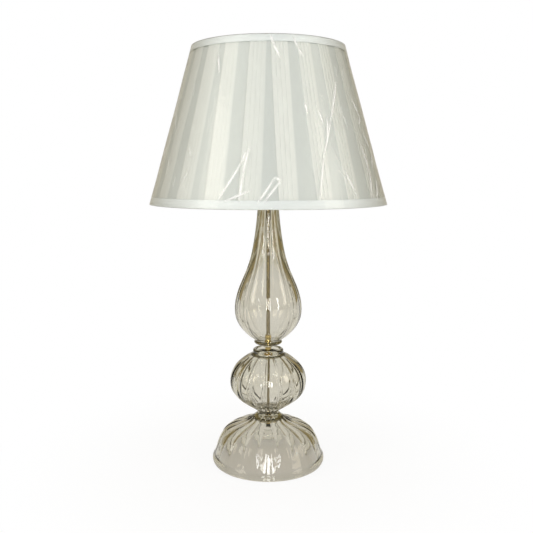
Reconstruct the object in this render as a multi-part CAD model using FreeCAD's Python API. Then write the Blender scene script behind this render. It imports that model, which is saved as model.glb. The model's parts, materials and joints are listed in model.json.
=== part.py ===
import FreeCAD, Part
import math
import os

# Table lamp: three ribbed blown-glass pieces threaded on a thin stem tube, a
# socket with a wire harp above them, and a pleated fabric shade in clear film.
# Millimetres, +Z up, front towards -Y, origin at the centre of the glass foot
# on the surface the lamp stands on.

os.makedirs("parts", exist_ok=True)

# ---- Stem and the clamping hardware under the dome ---------------------------
STEM_R = 3.0
STEM_BORE_R = 2.1
STEM_GAP = 0.25            # radial gap where the stem passes through a piece
THREAD_GAP = 0.05          # radial gap of a piece screwed on the stem
STEM_BELOW_NUT = 5.0       # stem left showing under the nut
STEM_IN_SOCKET = 10.0      # stem that reaches up into the socket cap
GASKET_T = 0.8
GASKET_R = 9.0
NUT_ACROSS_FLATS = 11.0
NUT_T = 4.0
WASHER_R = 11.0
WASHER_T = 1.5
BUSH_R = 5.0
BUSH_L = 6.0
BUSH_LIP_T = 1.5
BUSH_WALL_GAP = 0.05

# ---- Glass -------------------------------------------------------------------
GLASS_WALL = 3.5           # thickness left under the deepest groove
POINTS_PER_RIB = 6
CUT_OVER = 1.0             # how far a cutter runs past the face it cuts

BASE_SEAT_Z = 76.0         # floor of the dish on the dome's crown
BASE_CROWN_T = 4.5
BASE_RIBS = 20
BASE_CREST_DEG = -90.0
BASE_FOOT_R = 97.0         # flat land that the lamp stands on
BASE_FOOT_WIDTH = 4.0
BASE_BEAD_OUT = 3.3        # reach of the folded bead past the foot
BASE_BEAD_H = 13.0
BASE_BEAD_FULLEST = 0.55   # share of the bead's height where it is widest
BASE_LIP_R = 18.5          # centre of the rounded lip round the dish
BASE_LIP_TUBE_R = 4.0
# Height, share of the foot's radius over the ribs, and radial depth of the grooves
BASE_SHAPE = [
    (1.0, 1.0021, 0.0),
    (14.0, 1.0021, 0.0),
    (25.0, 0.9629, 0.3),
    (37.0, 0.9237, 0.9),
    (48.0, 0.8722, 1.8),
    (56.0, 0.8041, 2.6),
    (62.5, 0.7062, 3.4),
    (67.5, 0.5928, 4.0),
    (72.0, 0.4639, 4.0),
    (76.5, 0.3557, 2.8),
    (84.0, 0.2680, 1.0),
]

LOWER_SPACER_L = 11.4
SPACER_R = 5.0
SPACER_FLANGE_R = 8.0
SPACER_FLANGE_T = 1.4

BALL_SEAT_H = 102.5        # foot of the ball to the floor of its top dish
BALL_FLOOR_T = 5.0
BALL_CROWN_T = 4.5
BALL_RIBS = 16
BALL_CREST_DEG = -107.25
BALL_COLLAR_R = 27.0
BALL_COLLAR_WALL = 7.0
BALL_COLLAR_RISE = 14.5    # dish floor to the top of the collar
# Share of the seat's height, radius over the ribs, and radial depth of the grooves
BALL_SHAPE = [
    (0.0, 16.3, 0.3),
    (0.0341, 19.2, 0.8),
    (0.0829, 26.2, 1.6),
    (0.1463, 35.8, 2.2),
    (0.2244, 47.5, 2.4),
    (0.3122, 57.6, 2.3),
    (0.4195, 64.8, 2.2),
    (0.5366, 67.7, 2.2),
    (0.6537, 67.0, 2.2),
    (0.7610, 63.4, 2.2),
    (0.8585, 56.8, 2.3),
    (0.9463, 47.0, 2.4),
    (1.0098, 38.0, 2.0),
    (1.0537, 29.5, 0.8),
]

UPPER_SPACER_L = 17.9
SLEEVE_L = 20.8            # brass sleeve that centres the teardrop from inside

DROP_RIBS = 12
DROP_CREST_DEG = -90.0
DROP_FLOOR_T = 8.0
DROP_SEAT_R = 10.0
DROP_FOOT_R = 24.6         # pinched foot ring
DROP_PINCH_R = 23.2        # pinch over and under the ring
DROP_FOOT_UNDER_Z = 4.5
DROP_FOOT_EDGE_T = 5.5
# Height, radius over the ribs and radial depth of the grooves; the neck runs
# on into the shade, where the cap closes its mouth
DROP_OUTLINE = [
    (6.0, 18.6, 0.0),
    (10.0, 22.4, 0.2),
    (14.0, 27.3, 0.7),
    (20.0, 35.6, 1.1),
    (29.0, 44.8, 1.4),
    (39.0, 51.9, 1.5),
    (52.0, 57.3, 1.6),
    (68.0, 59.0, 1.6),
    (84.0, 57.2, 1.6),
    (102.0, 52.2, 1.5),
    (120.0, 44.9, 1.3),
    (140.0, 36.5, 1.1),
    (162.0, 29.8, 0.9),
    (187.0, 24.9, 0.7),
    (215.0, 21.0, 0.4),
    (240.0, 18.6, 0.2),
    (253.0, 18.0, 0.0),
]

# ---- Brass cap and harp saddle -----------------------------------------------
CAP_T = 1.8
CAP_R = 20.6
CAP_SKIRT_H = 6.0
CAP_SKIRT_GAP = 0.8
COLLAR_R = 9.0
COLLAR_WAIST_R = 7.0
COLLAR_L = 8.9
SADDLE_T = 1.6
SADDLE_W = 12.0
SADDLE_TAB_H = 14.0
SADDLE_TAB_W = 7.0
SADDLE_HUB_R = 11.0

# ---- Harp --------------------------------------------------------------------
HARP_H = 228.6             # saddle to the top of the loop
HARP_WIRE_R = 2.0
HARP_FOOT_X = 30.0
HARP_LEG_L = 38.0          # straight part above the saddle
HARP_HALF_W = 52.0         # centre line at the widest place
HARP_FLARE_R = 60.0
HARP_BOW_R = 175.0
HARP_TOP_FLAT = 6.0
HARP_PAD_R = 6.5
SLEEVE_H = 18.0
SLEEVE_WALL = 0.8
SLEEVE_GAP = 0.4
SLEEVE_CORNER_R = 1.8
TAB_GAP = 0.3

STUD_RIVET_R = 2.5
STUD_RIVET_GAP = 0.08
STUD_HEAD_R = 4.2
STUD_HEAD_T = 1.2
STUD_HEAD_GAP = 0.2
STUD_SHOULDER_R = 6.0
STUD_SHOULDER_T = 2.5
STUD_THREAD_R = 3.175
STUD_THREAD_L = 11.5

# ---- Socket, switch and bulb -------------------------------------------------
SOCKET_HUB_R = 8.0
SOCKET_HUB_H = 8.0
SOCKET_CAP_R = 16.4
SOCKET_CAP_H = 22.0
SOCKET_CAP_T = 0.9
SET_SCREW_R = 1.5
SET_SCREW_HEAD_R = 2.6
SET_SCREW_HEAD_T = 1.6
SHELL_GAP = 0.1
SHELL_T = 0.6
SHELL_BELOW_CAP = 4.5      # how far the shell reaches down inside the cap
SHELL_L = 39.5
SHELL_BEAD_R = 1.1
LINER_T = 0.7
INTERIOR_R = 13.3
INTERIOR_H = 18.0
INTERIOR_ABOVE_HUB = 11.0
SCREW_SHELL_T = 0.4
SCREW_SHELL_R = 13.2       # inside, over the crests of the lamp thread
SCREW_SHELL_H = 19.0
CONTACT_H = 3.4
CONTACT_W = 5.0
CONTACT_T = 0.5
TERMINAL_SCREW_R = 1.8
TERMINAL_SCREW_L = 5.0
SWITCH_SHAFT_R = 1.6
SWITCH_SHAFT_L = 18.0
SWITCH_SHAFT_IN = 6.0      # depth of the shaft in the socket's inner body
SWITCH_GAP = 0.1
SWITCH_HOLE_GAP = 0.5
SWITCH_ABOVE_SEAT = 30.0
KNOB_R = 7.5
KNOB_NECK_R = 4.5
KNOB_L = 15.0
KNOB_NECK_L = 5.0
KNOB_FLUTES = 12
KNOB_FLUTE_R = 1.2

BULB_TIP_GAP = 0.2
BULB_TIP_R = 4.5
BULB_TIP_H = 3.0
BULB_TIP_EDGE = 0.7        # share of the tip's radius where its curve is measured
BULB_TIP_SAG = 0.25        # share of the tip's height there
BULB_INSULATOR_R = 9.0
BULB_INSULATOR_H = 3.0
BULB_THREAD_GAP = 0.25
BULB_THREAD_L = 20.0
BULB_THREAD_PITCH = 3.6
BULB_THREAD_DEPTH = 0.8
BULB_THREADS = 4
BULB_NECK_R = 14.2
BULB_GLOBE_R = 30.0
BULB_GLOBE_Z = 76.0        # tip to the centre of the globe
BULB_JOIN_DEG = -28.0      # where the globe meets the cone below it
BULB_SIDE_DEG = 30.0
BULB_WALL = 1.0

# ---- Shade -------------------------------------------------------------------
SHADE_TOP_R = 129.0
SHADE_BOTTOM_R = 203.0
SHADE_H = 260.1
SHADE_DROP = 14.2          # fitter washer to the shade's upper edge
FILM_T = 0.2
FILM_GAP = 0.3
FILM_TOP_FOLD = 9.0
FILM_BOTTOM_FOLD = 14.0
TRIM_T = 0.8
TOP_TRIM_H = 11.0
BOTTOM_TRIM_H = 13.0
LAYER_GAP = 0.2
PLEAT_BANDS = 22
PLEATS_PER_BAND = 3
PLEAT_RISE = 1.4
PLEAT_LEAD = 0.25          # share of a pleat that rises to its crest
PLEAT_TAIL = 0.97          # share of a pleat where its fold drops away
CLOTH_BACK_SIDES = 132     # flats round the cloth's back
BAND_SHARE_BOTTOM = 0.50   # part of the round that a pleated band takes
BAND_SHARE_TOP = 0.60
FABRIC_T = 0.6
LINER_CARD_T = 0.6
RING_WIRE_R = 1.75
SPIDER_WIRE_R = 1.5
SPIDER_ARMS = 3
SPIDER_ARM_START = 12.0
SPIDER_BEND_R = 15.0
SPIDER_BEND_AT = 92.0
SPIDER_FIRST_DEG = 90.0
SPIDER_WASHER_R = 15.0
SPIDER_WASHER_T = 1.5
SPIDER_HOLE_GAP = 0.28
ARM_SNIP_GAP = 0.25        # beside an arm, where the top tape is snipped for it

# ---- Finial ------------------------------------------------------------------
FINIAL_FOOT_R = 7.0
FINIAL_FOOT_H = 2.5
FINIAL_NECK_R = 4.9
FINIAL_BALL_R = 8.0
FINIAL_H = 21.0
FINIAL_BORE_GAP = 0.1
FINIAL_BORE_L = 11.5

# ---- Outlines and heights that follow from the sizes above -------------------
base_outline = [(z, share * BASE_FOOT_R, depth) for z, share, depth in BASE_SHAPE]
ball_outline = [(share * BALL_SEAT_H, r, depth) for share, r, depth in BALL_SHAPE]
ball_collar_h = BALL_SEAT_H + BALL_COLLAR_RISE
crown_under_z = BASE_SEAT_Z - BASE_CROWN_T
lower_spacer_z = BASE_SEAT_Z + GASKET_T
ball_z = lower_spacer_z + LOWER_SPACER_L + GASKET_T
upper_spacer_z = ball_z + BALL_SEAT_H + GASKET_T
drop_z = upper_spacer_z + UPPER_SPACER_L + GASKET_T
drop_h, drop_mouth_r, _ = DROP_OUTLINE[-1]
mouth_z = drop_z + drop_h
cap_z = mouth_z + GASKET_T
collar_z = cap_z + CAP_T
saddle_z = collar_z + COLLAR_L
seat_z = saddle_z + SADDLE_T
washer_under_z = crown_under_z - GASKET_T - WASHER_T
nut_z = washer_under_z - NUT_T
stem_low_z = nut_z - STEM_BELOW_NUT
harp_top_z = seat_z + HARP_H
fitter_z = harp_top_z + STUD_SHOULDER_T
shade_top_z = fitter_z + SHADE_DROP
shade_bottom_z = shade_top_z - SHADE_H
bulb_tip_z = seat_z + SOCKET_HUB_H + INTERIOR_ABOVE_HUB + INTERIOR_H + CONTACT_H + BULB_TIP_GAP


def vec(x, y, z):
    return FreeCAD.Vector(x, y, z)


def turn(shape, degrees):
    """Copy of a shape turned about the lamp's axis."""
    copy = shape.copy()
    copy.rotate(vec(0, 0, 0), vec(0, 0, 1), degrees)
    return copy


def disc(radius, z, height):
    """Solid round on the lamp's axis."""
    return Part.makeCylinder(radius, height, vec(0, 0, z))


def ring(outer_r, inner_r, z, height):
    """Flat-ended tube or washer on the lamp's axis."""
    return disc(outer_r, z, height).cut(disc(inner_r, z, height))


def torus(centre_r, tube_r, z):
    return Part.makeTorus(centre_r, tube_r, vec(0, 0, z))


def turned(steps):
    """Solid of revolution; each step is a corner (r, z) or an arc ((r, z) on it, (r, z) end)."""
    edges = []
    here = steps[0]
    for step in steps[1:] + [steps[0]]:
        if isinstance(step[0], tuple):
            middle, end = step
            arc = Part.Arc(vec(here[0], 0, here[1]), vec(middle[0], 0, middle[1]), vec(end[0], 0, end[1]))
            edges.append(arc.toShape())
        else:
            end = step
            edges.append(Part.LineSegment(vec(here[0], 0, here[1]), vec(end[0], 0, end[1])).toShape())
        here = end
    face = Part.Face(Part.Wire(edges))
    return face.revolve(vec(0, 0, 0), vec(0, 0, 1), 360)


def rib_section(z, radius, depth, ribs, crest_deg):
    """Closed curve with rounded ribs: crests at radius, grooves at radius - depth."""
    count = ribs * POINTS_PER_RIB
    points = []
    for i in range(count):
        angle = 2 * math.pi * i / count
        swing = math.cos(ribs * (angle - math.radians(crest_deg)))
        r = radius - depth * (1 - swing) / 2
        points.append(vec(r * math.cos(angle), r * math.sin(angle), z))
    curve = Part.BSplineCurve()
    curve.interpolate(Points=points, PeriodicFlag=True)
    return Part.Wire(curve.toShape())


def ribbed_blank(outline, foot_z, ribs, crest_deg):
    """Solid ribbed body through the sections of an outline."""
    wires = [rib_section(foot_z + z, r, depth, ribs, crest_deg) for z, r, depth in outline]
    return Part.makeLoft(wires, True, False)


def inset_outline(outline, foot_z):
    """Points of the smooth inner wall, one wall thickness under the grooves."""
    points = []
    last = len(outline) - 1
    for i, (z, r, depth) in enumerate(outline):
        z0, r0, _ = outline[max(i - 1, 0)]
        z1, r1, _ = outline[min(i + 1, last)]
        slope = math.hypot(r1 - r0, z1 - z0)
        out_r = (z1 - z0) / slope
        out_z = (r0 - r1) / slope
        step = GLASS_WALL + depth * abs(out_r)
        points.append(vec(r - step * out_r, 0, foot_z + z - step * out_z))
    return points


def hollow(outline, foot_z, floor_z, ceiling_z):
    """Space inside a blown piece, between a flat floor and a flat ceiling."""
    points = inset_outline(outline, foot_z)
    wall = Part.BSplineCurve()
    wall.interpolate(points)
    low = points[0]
    high = points[-1]
    low_axis = vec(0, 0, low.z)
    high_axis = vec(0, 0, high.z)
    edges = [
        Part.LineSegment(low_axis, low).toShape(),
        wall.toShape(),
        Part.LineSegment(high, high_axis).toShape(),
        Part.LineSegment(high_axis, low_axis).toShape(),
    ]
    space = Part.Face(Part.Wire(edges)).revolve(vec(0, 0, 0), vec(0, 0, 1), 360)
    widest = max(r for _, r, _ in outline)
    return space.common(disc(widest, floor_z, ceiling_z - floor_z))


def sweep_rod(edges, radius):
    """Round rod along a path of tangent lines and arcs."""
    path = Part.Wire(edges)
    start = path.Vertexes[0].Point
    first = path.Edges[0]
    direction = first.tangentAt(first.FirstParameter)
    profile = Part.Wire(Part.makeCircle(radius, start, direction))
    return path.makePipeShell([profile], True, True)


def line(a, b):
    return Part.LineSegment(a, b).toShape()


def arc(centre, radius, from_deg, to_deg):
    """Arc in the XZ plane; angles from +X towards +Z."""
    places = []
    for degrees in (from_deg, (from_deg + to_deg) / 2, to_deg):
        angle = math.radians(degrees)
        places.append(vec(centre[0] + radius * math.cos(angle), 0, centre[1] + radius * math.sin(angle)))
    return Part.Arc(*places).toShape()


# ---- Glass pieces ------------------------------------------------------------

def make_base_glass():
    body = ribbed_blank(base_outline, 0, BASE_RIBS, BASE_CREST_DEG)
    foot_in = BASE_FOOT_R - BASE_FOOT_WIDTH
    bead_r = BASE_FOOT_R + BASE_BEAD_OUT
    bead_end_r = BASE_FOOT_R - BASE_FOOT_WIDTH / 2
    bead = turned([
        (foot_in, 0),
        (BASE_FOOT_R, 0),
        ((bead_r, BASE_BEAD_H * BASE_BEAD_FULLEST), (bead_end_r, BASE_BEAD_H)),
        (foot_in, BASE_BEAD_H),
    ])
    lip_z = base_outline[-1][0]
    space = hollow(base_outline, 0, 0, crown_under_z)
    foot_hole = disc(foot_in, -CUT_OVER, CUT_OVER + GLASS_WALL)
    dish_r = BASE_LIP_R - BASE_LIP_TUBE_R
    dish = disc(dish_r, BASE_SEAT_Z, lip_z)
    bore = disc(STEM_R + STEM_GAP, 0, lip_z)
    shell = body.fuse(torus(BASE_LIP_R, BASE_LIP_TUBE_R, lip_z)).cut(space)
    return shell.fuse(bead).cut(foot_hole).cut(dish).cut(bore)


def make_ball_glass():
    body = ribbed_blank(ball_outline, ball_z, BALL_RIBS, BALL_CREST_DEG)
    floor_z = ball_z + BALL_FLOOR_T
    dish_z = ball_z + BALL_SEAT_H
    top_z = ball_z + ball_collar_h
    collar_in = BALL_COLLAR_R - BALL_COLLAR_WALL
    lip_r = BALL_COLLAR_WALL / 2
    collar = turned([
        (collar_in, dish_z - BALL_CROWN_T / 2),
        (BALL_COLLAR_R, dish_z - BALL_CROWN_T / 2),
        (BALL_COLLAR_R, top_z - lip_r),
        ((BALL_COLLAR_R - lip_r, top_z), (collar_in, top_z - lip_r)),
    ])
    space = hollow(ball_outline, ball_z, floor_z, dish_z - BALL_CROWN_T)
    dish = disc(collar_in, dish_z, ball_collar_h)
    bore = disc(STEM_R + STEM_GAP, ball_z, ball_collar_h)
    return body.cut(dish).cut(space).fuse(collar).cut(bore)


def make_teardrop_glass():
    body = ribbed_blank(DROP_OUTLINE, drop_z, DROP_RIBS, DROP_CREST_DEG)
    under_z = drop_z + DROP_FOOT_UNDER_Z
    edge_z = under_z + DROP_FOOT_EDGE_T / 2
    top_z = under_z + DROP_FOOT_EDGE_T
    foot = turned([
        (0, drop_z),
        (DROP_SEAT_R, drop_z),
        (DROP_PINCH_R, under_z),
        ((DROP_FOOT_R, edge_z), (DROP_PINCH_R, top_z)),
        (0, top_z),
    ])
    space = hollow(DROP_OUTLINE, drop_z, drop_z + DROP_FLOOR_T, mouth_z)
    bore = disc(SPACER_R + STEM_GAP, drop_z, drop_h)
    return body.fuse(foot).cut(space).cut(bore)


# ---- Stem and brassware ------------------------------------------------------

def make_stem_tube():
    top_z = seat_z + STEM_IN_SOCKET
    return ring(STEM_R, STEM_BORE_R, stem_low_z, top_z - stem_low_z)


def make_glass_gaskets():
    """Thin washers that keep the metal off the glass."""
    hole = STEM_R + STEM_GAP
    mouth_in = drop_mouth_r - GLASS_WALL
    return Part.makeCompound([
        ring(GASKET_R, hole, crown_under_z - GASKET_T, GASKET_T),
        ring(GASKET_R, hole, BASE_SEAT_Z, GASKET_T),
        ring(GASKET_R, hole, ball_z - GASKET_T, GASKET_T),
        ring(GASKET_R, hole, ball_z + BALL_SEAT_H, GASKET_T),
        ring(GASKET_R, SPACER_R + STEM_GAP, drop_z - GASKET_T, GASKET_T),
        ring(drop_mouth_r, mouth_in, mouth_z, GASKET_T),
    ])


def make_stem_washer():
    return ring(WASHER_R, STEM_R + STEM_GAP, washer_under_z, WASHER_T)


def make_stem_nut():
    corner_r = NUT_ACROSS_FLATS / 2 / math.cos(math.pi / 6)
    hexagon = Part.makePolygon([
        vec(corner_r * math.cos(math.radians(60 * i)), corner_r * math.sin(math.radians(60 * i)), nut_z)
        for i in range(7)
    ])
    nut = Part.Face(hexagon).extrude(vec(0, 0, NUT_T))
    return nut.cut(disc(STEM_R + THREAD_GAP, nut_z, NUT_T))


def make_cord_bush():
    """Insulating bush pushed on the stem's lower end, where the mains lead leaves it."""
    low_z = stem_low_z - BUSH_LIP_T
    body = disc(BUSH_R, low_z, BUSH_LIP_T).fuse(disc(BUSH_R - BUSH_LIP_T / 2, low_z, BUSH_L - STEM_GAP))
    body = body.cut(disc(STEM_R + BUSH_WALL_GAP, stem_low_z, BUSH_L))
    return body.cut(disc(STEM_BORE_R, low_z, BUSH_L))


def make_lower_spacer():
    tube = disc(SPACER_R, lower_spacer_z, LOWER_SPACER_L)
    flange = disc(SPACER_FLANGE_R, lower_spacer_z, SPACER_FLANGE_T)
    head = disc(SPACER_FLANGE_R, lower_spacer_z + LOWER_SPACER_L - SPACER_FLANGE_T, SPACER_FLANGE_T)
    return tube.fuse(flange).fuse(head).cut(disc(STEM_R + STEM_GAP, lower_spacer_z, LOWER_SPACER_L))


def make_upper_spacer():
    """Flanged spacer whose upper end is the sleeve inside the teardrop's foot."""
    length = UPPER_SPACER_L + SLEEVE_L
    tube = disc(SPACER_R, upper_spacer_z, length)
    flange = disc(SPACER_FLANGE_R, upper_spacer_z, SPACER_FLANGE_T)
    head = disc(SPACER_FLANGE_R, upper_spacer_z + UPPER_SPACER_L - SPACER_FLANGE_T, SPACER_FLANGE_T)
    return tube.fuse(flange).fuse(head).cut(disc(STEM_R + STEM_GAP, upper_spacer_z, length))


def make_neck_cap():
    skirt_in = drop_mouth_r + CAP_SKIRT_GAP
    skirt_z = cap_z - CAP_SKIRT_H
    corner = CAP_T
    return turned([
        (STEM_R + STEM_GAP, cap_z),
        (skirt_in, cap_z),
        (skirt_in, skirt_z),
        (CAP_R, skirt_z),
        (CAP_R, cap_z + CAP_T - corner),
        ((CAP_R - corner * (1 - math.sqrt(0.5)), cap_z + CAP_T - corner * (1 - math.sqrt(0.5))),
         (CAP_R - corner, cap_z + CAP_T)),
        (STEM_R + STEM_GAP, cap_z + CAP_T),
    ])


def make_neck_collar():
    """Turned collar with a waist, screwed down the stem to clamp the glass."""
    top_z = collar_z + COLLAR_L
    middle_z = collar_z + COLLAR_L / 2
    return turned([
        (STEM_R + THREAD_GAP, collar_z),
        (COLLAR_R, collar_z),
        ((COLLAR_WAIST_R, middle_z), (COLLAR_R, top_z)),
        (STEM_R + THREAD_GAP, top_z),
    ])


# ---- Harp saddle, harp and sleeves -------------------------------------------

tab_in_x = HARP_FOOT_X + HARP_WIRE_R + TAB_GAP
tab_out_x = tab_in_x + SADDLE_T


def make_harp_saddle():
    arms = Part.makeBox(2 * tab_out_x, SADDLE_W, SADDLE_T, vec(-tab_out_x, -SADDLE_W / 2, saddle_z))
    saddle = arms.fuse(disc(SADDLE_HUB_R, saddle_z, SADDLE_T))
    for side in (-1, 1):
        low_x = min(side * tab_in_x, side * tab_out_x)
        tab = Part.makeBox(SADDLE_T, SADDLE_TAB_W, SADDLE_TAB_H, vec(low_x, -SADDLE_TAB_W / 2, seat_z))
        saddle = saddle.fuse(tab)
    return saddle.cut(disc(STEM_R + STEM_GAP, saddle_z, SADDLE_T))


def make_harp_half():
    """Right half of the loop: straight leg, flare, long bow and top curve."""
    wire_top_z = harp_top_z - HARP_WIRE_R
    leg_top_z = seat_z + HARP_LEG_L
    reach = HARP_FLARE_R + HARP_BOW_R
    flare = math.acos(1 - (HARP_HALF_W - HARP_FOOT_X) / reach)
    widest_z = leg_top_z + reach * math.sin(flare)
    across = HARP_BOW_R + HARP_TOP_FLAT - HARP_HALF_W
    up = HARP_BOW_R + widest_z - wire_top_z
    bow = math.pi / 2 - 2 * math.atan(up / across)
    top_r = HARP_BOW_R - across / math.cos(bow)
    bow_centre = (HARP_HALF_W - HARP_BOW_R, widest_z)
    top_centre = (HARP_TOP_FLAT, wire_top_z - top_r)
    flare_deg = math.degrees(flare)
    bow_deg = math.degrees(bow)
    path = [
        line(vec(HARP_FOOT_X, 0, seat_z), vec(HARP_FOOT_X, 0, leg_top_z)),
        arc((HARP_FOOT_X + HARP_FLARE_R, leg_top_z), HARP_FLARE_R, 180, 180 - flare_deg),
        arc(bow_centre, HARP_BOW_R, -flare_deg, bow_deg),
        arc(top_centre, top_r, bow_deg, 90),
        line(vec(HARP_TOP_FLAT, 0, wire_top_z), vec(0, 0, wire_top_z)),
    ]
    return sweep_rod(path, HARP_WIRE_R)


def make_harp_loop():
    half = make_harp_half()
    pad = disc(HARP_PAD_R, harp_top_z - 2 * HARP_WIRE_R, 2 * HARP_WIRE_R)
    loop = half.fuse(turn(half, 180)).fuse(pad)
    return loop.cut(disc(STUD_RIVET_R + STUD_RIVET_GAP, harp_top_z - 2 * HARP_WIRE_R, 2 * HARP_WIRE_R))


def rounded_box(low_x, high_x, half_y, corner_r, z, height):
    box = Part.makeBox(high_x - low_x, 2 * half_y, height, vec(low_x, -half_y, z))
    uprights = [e for e in box.Edges if abs(e.tangentAt(e.FirstParameter).z) > 0.5]
    return box.makeFillet(corner_r, uprights)


def make_harp_sleeve(side):
    """Oval sleeve that locks one harp leg to the saddle's tab."""
    inner_low = HARP_FOOT_X - HARP_WIRE_R - SLEEVE_GAP
    inner_high = tab_out_x + SLEEVE_GAP
    inner_y = SADDLE_TAB_W / 2 + SLEEVE_GAP
    outer = rounded_box(inner_low - SLEEVE_WALL, inner_high + SLEEVE_WALL, inner_y + SLEEVE_WALL,
                        SLEEVE_CORNER_R, seat_z, SLEEVE_H)
    bore = Part.makeBox(inner_high - inner_low, 2 * inner_y, SLEEVE_H, vec(inner_low, -inner_y, seat_z))
    sleeve = outer.cut(bore)
    return sleeve if side > 0 else turn(sleeve, 180)


def make_harp_top_stud():
    """Swivelling stud: riveted through the harp's pad, threaded above its shoulder."""
    pad_under_z = harp_top_z - 2 * HARP_WIRE_R
    head_z = pad_under_z - STUD_HEAD_GAP - STUD_HEAD_T
    head = disc(STUD_HEAD_R, head_z, STUD_HEAD_T)
    rivet = disc(STUD_RIVET_R, head_z, harp_top_z - head_z)
    shoulder = disc(STUD_SHOULDER_R, harp_top_z, STUD_SHOULDER_T)
    thread = disc(STUD_THREAD_R, fitter_z, STUD_THREAD_L)
    return head.fuse(rivet).fuse(shoulder).fuse(thread)


# ---- Socket ------------------------------------------------------------------

hub_top_z = seat_z + SOCKET_HUB_H
cap_mouth_z = seat_z + SOCKET_CAP_H
shell_r = SOCKET_CAP_R - SOCKET_CAP_T - SHELL_GAP
shell_z = cap_mouth_z - SHELL_BELOW_CAP
liner_r = shell_r - SHELL_T - SHELL_GAP
interior_z = hub_top_z + INTERIOR_ABOVE_HUB
screw_shell_z = interior_z + INTERIOR_H
switch_z = seat_z + SWITCH_ABOVE_SEAT


def cross_hole(radius, length):
    """Round cutter from the lamp's axis out to the front, at the switch's height."""
    return Part.makeCylinder(radius, length, vec(0, 0, switch_z), vec(0, -1, 0))


def make_socket_cap():
    hole = STEM_R + THREAD_GAP
    wall = SOCKET_CAP_T
    bowl_z = hub_top_z + (SOCKET_CAP_R - SOCKET_HUB_R)
    cap = turned([
        (hole, seat_z),
        (SOCKET_HUB_R, seat_z),
        (SOCKET_HUB_R, hub_top_z),
        (SOCKET_CAP_R, bowl_z),
        (SOCKET_CAP_R, cap_mouth_z),
        (SOCKET_CAP_R - wall, cap_mouth_z),
        (SOCKET_CAP_R - wall, bowl_z + wall),
        (SOCKET_HUB_R - wall, hub_top_z + wall),
        (hole, hub_top_z + wall),
    ])
    return cap.cut(set_screw_rod(SET_SCREW_R + THREAD_GAP))


def set_screw_rod(radius):
    length = SOCKET_HUB_R - STEM_R - STEM_GAP
    return Part.makeCylinder(radius, length, vec(0, STEM_R + STEM_GAP, seat_z + SOCKET_HUB_H / 2), vec(0, 1, 0))


def make_socket_set_screw():
    head = Part.makeCylinder(SET_SCREW_HEAD_R, SET_SCREW_HEAD_T,
                             vec(0, SOCKET_HUB_R, seat_z + SOCKET_HUB_H / 2), vec(0, 1, 0))
    return set_screw_rod(SET_SCREW_R).fuse(head)


def make_socket_shell():
    tube = ring(shell_r, shell_r - SHELL_T, shell_z, SHELL_L)
    bead = torus(shell_r, SHELL_BEAD_R, shell_z + SHELL_L - SHELL_BEAD_R)
    bead = bead.cut(disc(shell_r - SHELL_T, shell_z, SHELL_L))
    return tube.fuse(bead).cut(cross_hole(SWITCH_SHAFT_R + SWITCH_HOLE_GAP, 2 * shell_r))


def make_socket_liner():
    tube = ring(liner_r, liner_r - LINER_T, shell_z + SHELL_GAP, SHELL_L - SHELL_GAP)
    return tube.cut(cross_hole(SWITCH_SHAFT_R + SWITCH_HOLE_GAP, 2 * shell_r))


def make_socket_interior():
    body = disc(INTERIOR_R, interior_z, INTERIOR_H)
    body = body.cut(cross_hole(SWITCH_SHAFT_R + SWITCH_GAP, INTERIOR_R))
    for side in (-1, 1):
        screw = terminal_screw(side, THREAD_GAP)
        body = body.cut(screw)
    return body


def terminal_screw(side, gap):
    start = vec(side * (INTERIOR_R - TERMINAL_SCREW_L), 0, interior_z + INTERIOR_H / 3)
    return Part.makeCylinder(TERMINAL_SCREW_R + gap, TERMINAL_SCREW_L, start, vec(side, 0, 0))


def make_terminal_screws():
    return Part.makeCompound([terminal_screw(-1, 0), terminal_screw(1, 0)])


def make_screw_shell():
    outer_r = SCREW_SHELL_R + SCREW_SHELL_T
    cup = disc(outer_r, screw_shell_z, SCREW_SHELL_H)
    cup = cup.cut(disc(SCREW_SHELL_R, screw_shell_z + SCREW_SHELL_T, SCREW_SHELL_H))
    return cup.cut(disc(CONTACT_W, screw_shell_z, SCREW_SHELL_T))


def make_centre_contact():
    """Bent brass tongue: foot on the socket's inner body, tip under the bulb."""
    half = CONTACT_W / 2
    z = screw_shell_z
    foot = Part.makeBox(CONTACT_W, CONTACT_W, CONTACT_T, vec(-half, -half, z))
    back = Part.makeBox(CONTACT_T, CONTACT_W, CONTACT_H, vec(-half, -half, z))
    tip = Part.makeBox(CONTACT_W, CONTACT_W, CONTACT_T, vec(-half, -half, z + CONTACT_H - CONTACT_T))
    return foot.fuse(back).fuse(tip)


def make_switch_shaft():
    inner_y = INTERIOR_R - SWITCH_SHAFT_IN
    return Part.makeCylinder(SWITCH_SHAFT_R, SWITCH_SHAFT_L, vec(0, -inner_y, switch_z), vec(0, -1, 0))


def make_switch_knob():
    """Fluted turn knob on the shaft's outer end, built upright and laid to the front."""
    neck_z = shell_r + SHELL_BEAD_R
    grip_z = neck_z + KNOB_NECK_L
    top_z = neck_z + KNOB_L
    knob = disc(KNOB_NECK_R, neck_z, KNOB_NECK_L).fuse(disc(KNOB_R, grip_z, top_z - grip_z))
    for i in range(KNOB_FLUTES):
        flute = Part.makeCylinder(KNOB_FLUTE_R, KNOB_L, vec(KNOB_R, 0, grip_z))
        knob = knob.cut(turn(flute, 360 * i / KNOB_FLUTES))
    shaft_end = INTERIOR_R - SWITCH_SHAFT_IN + SWITCH_SHAFT_L
    knob = knob.cut(disc(SWITCH_SHAFT_R + THREAD_GAP, 0, shaft_end + THREAD_GAP))
    knob.rotate(vec(0, 0, 0), vec(1, 0, 0), 90)
    knob.translate(vec(0, 0, switch_z))
    return knob


# ---- Bulb --------------------------------------------------------------------

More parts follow.
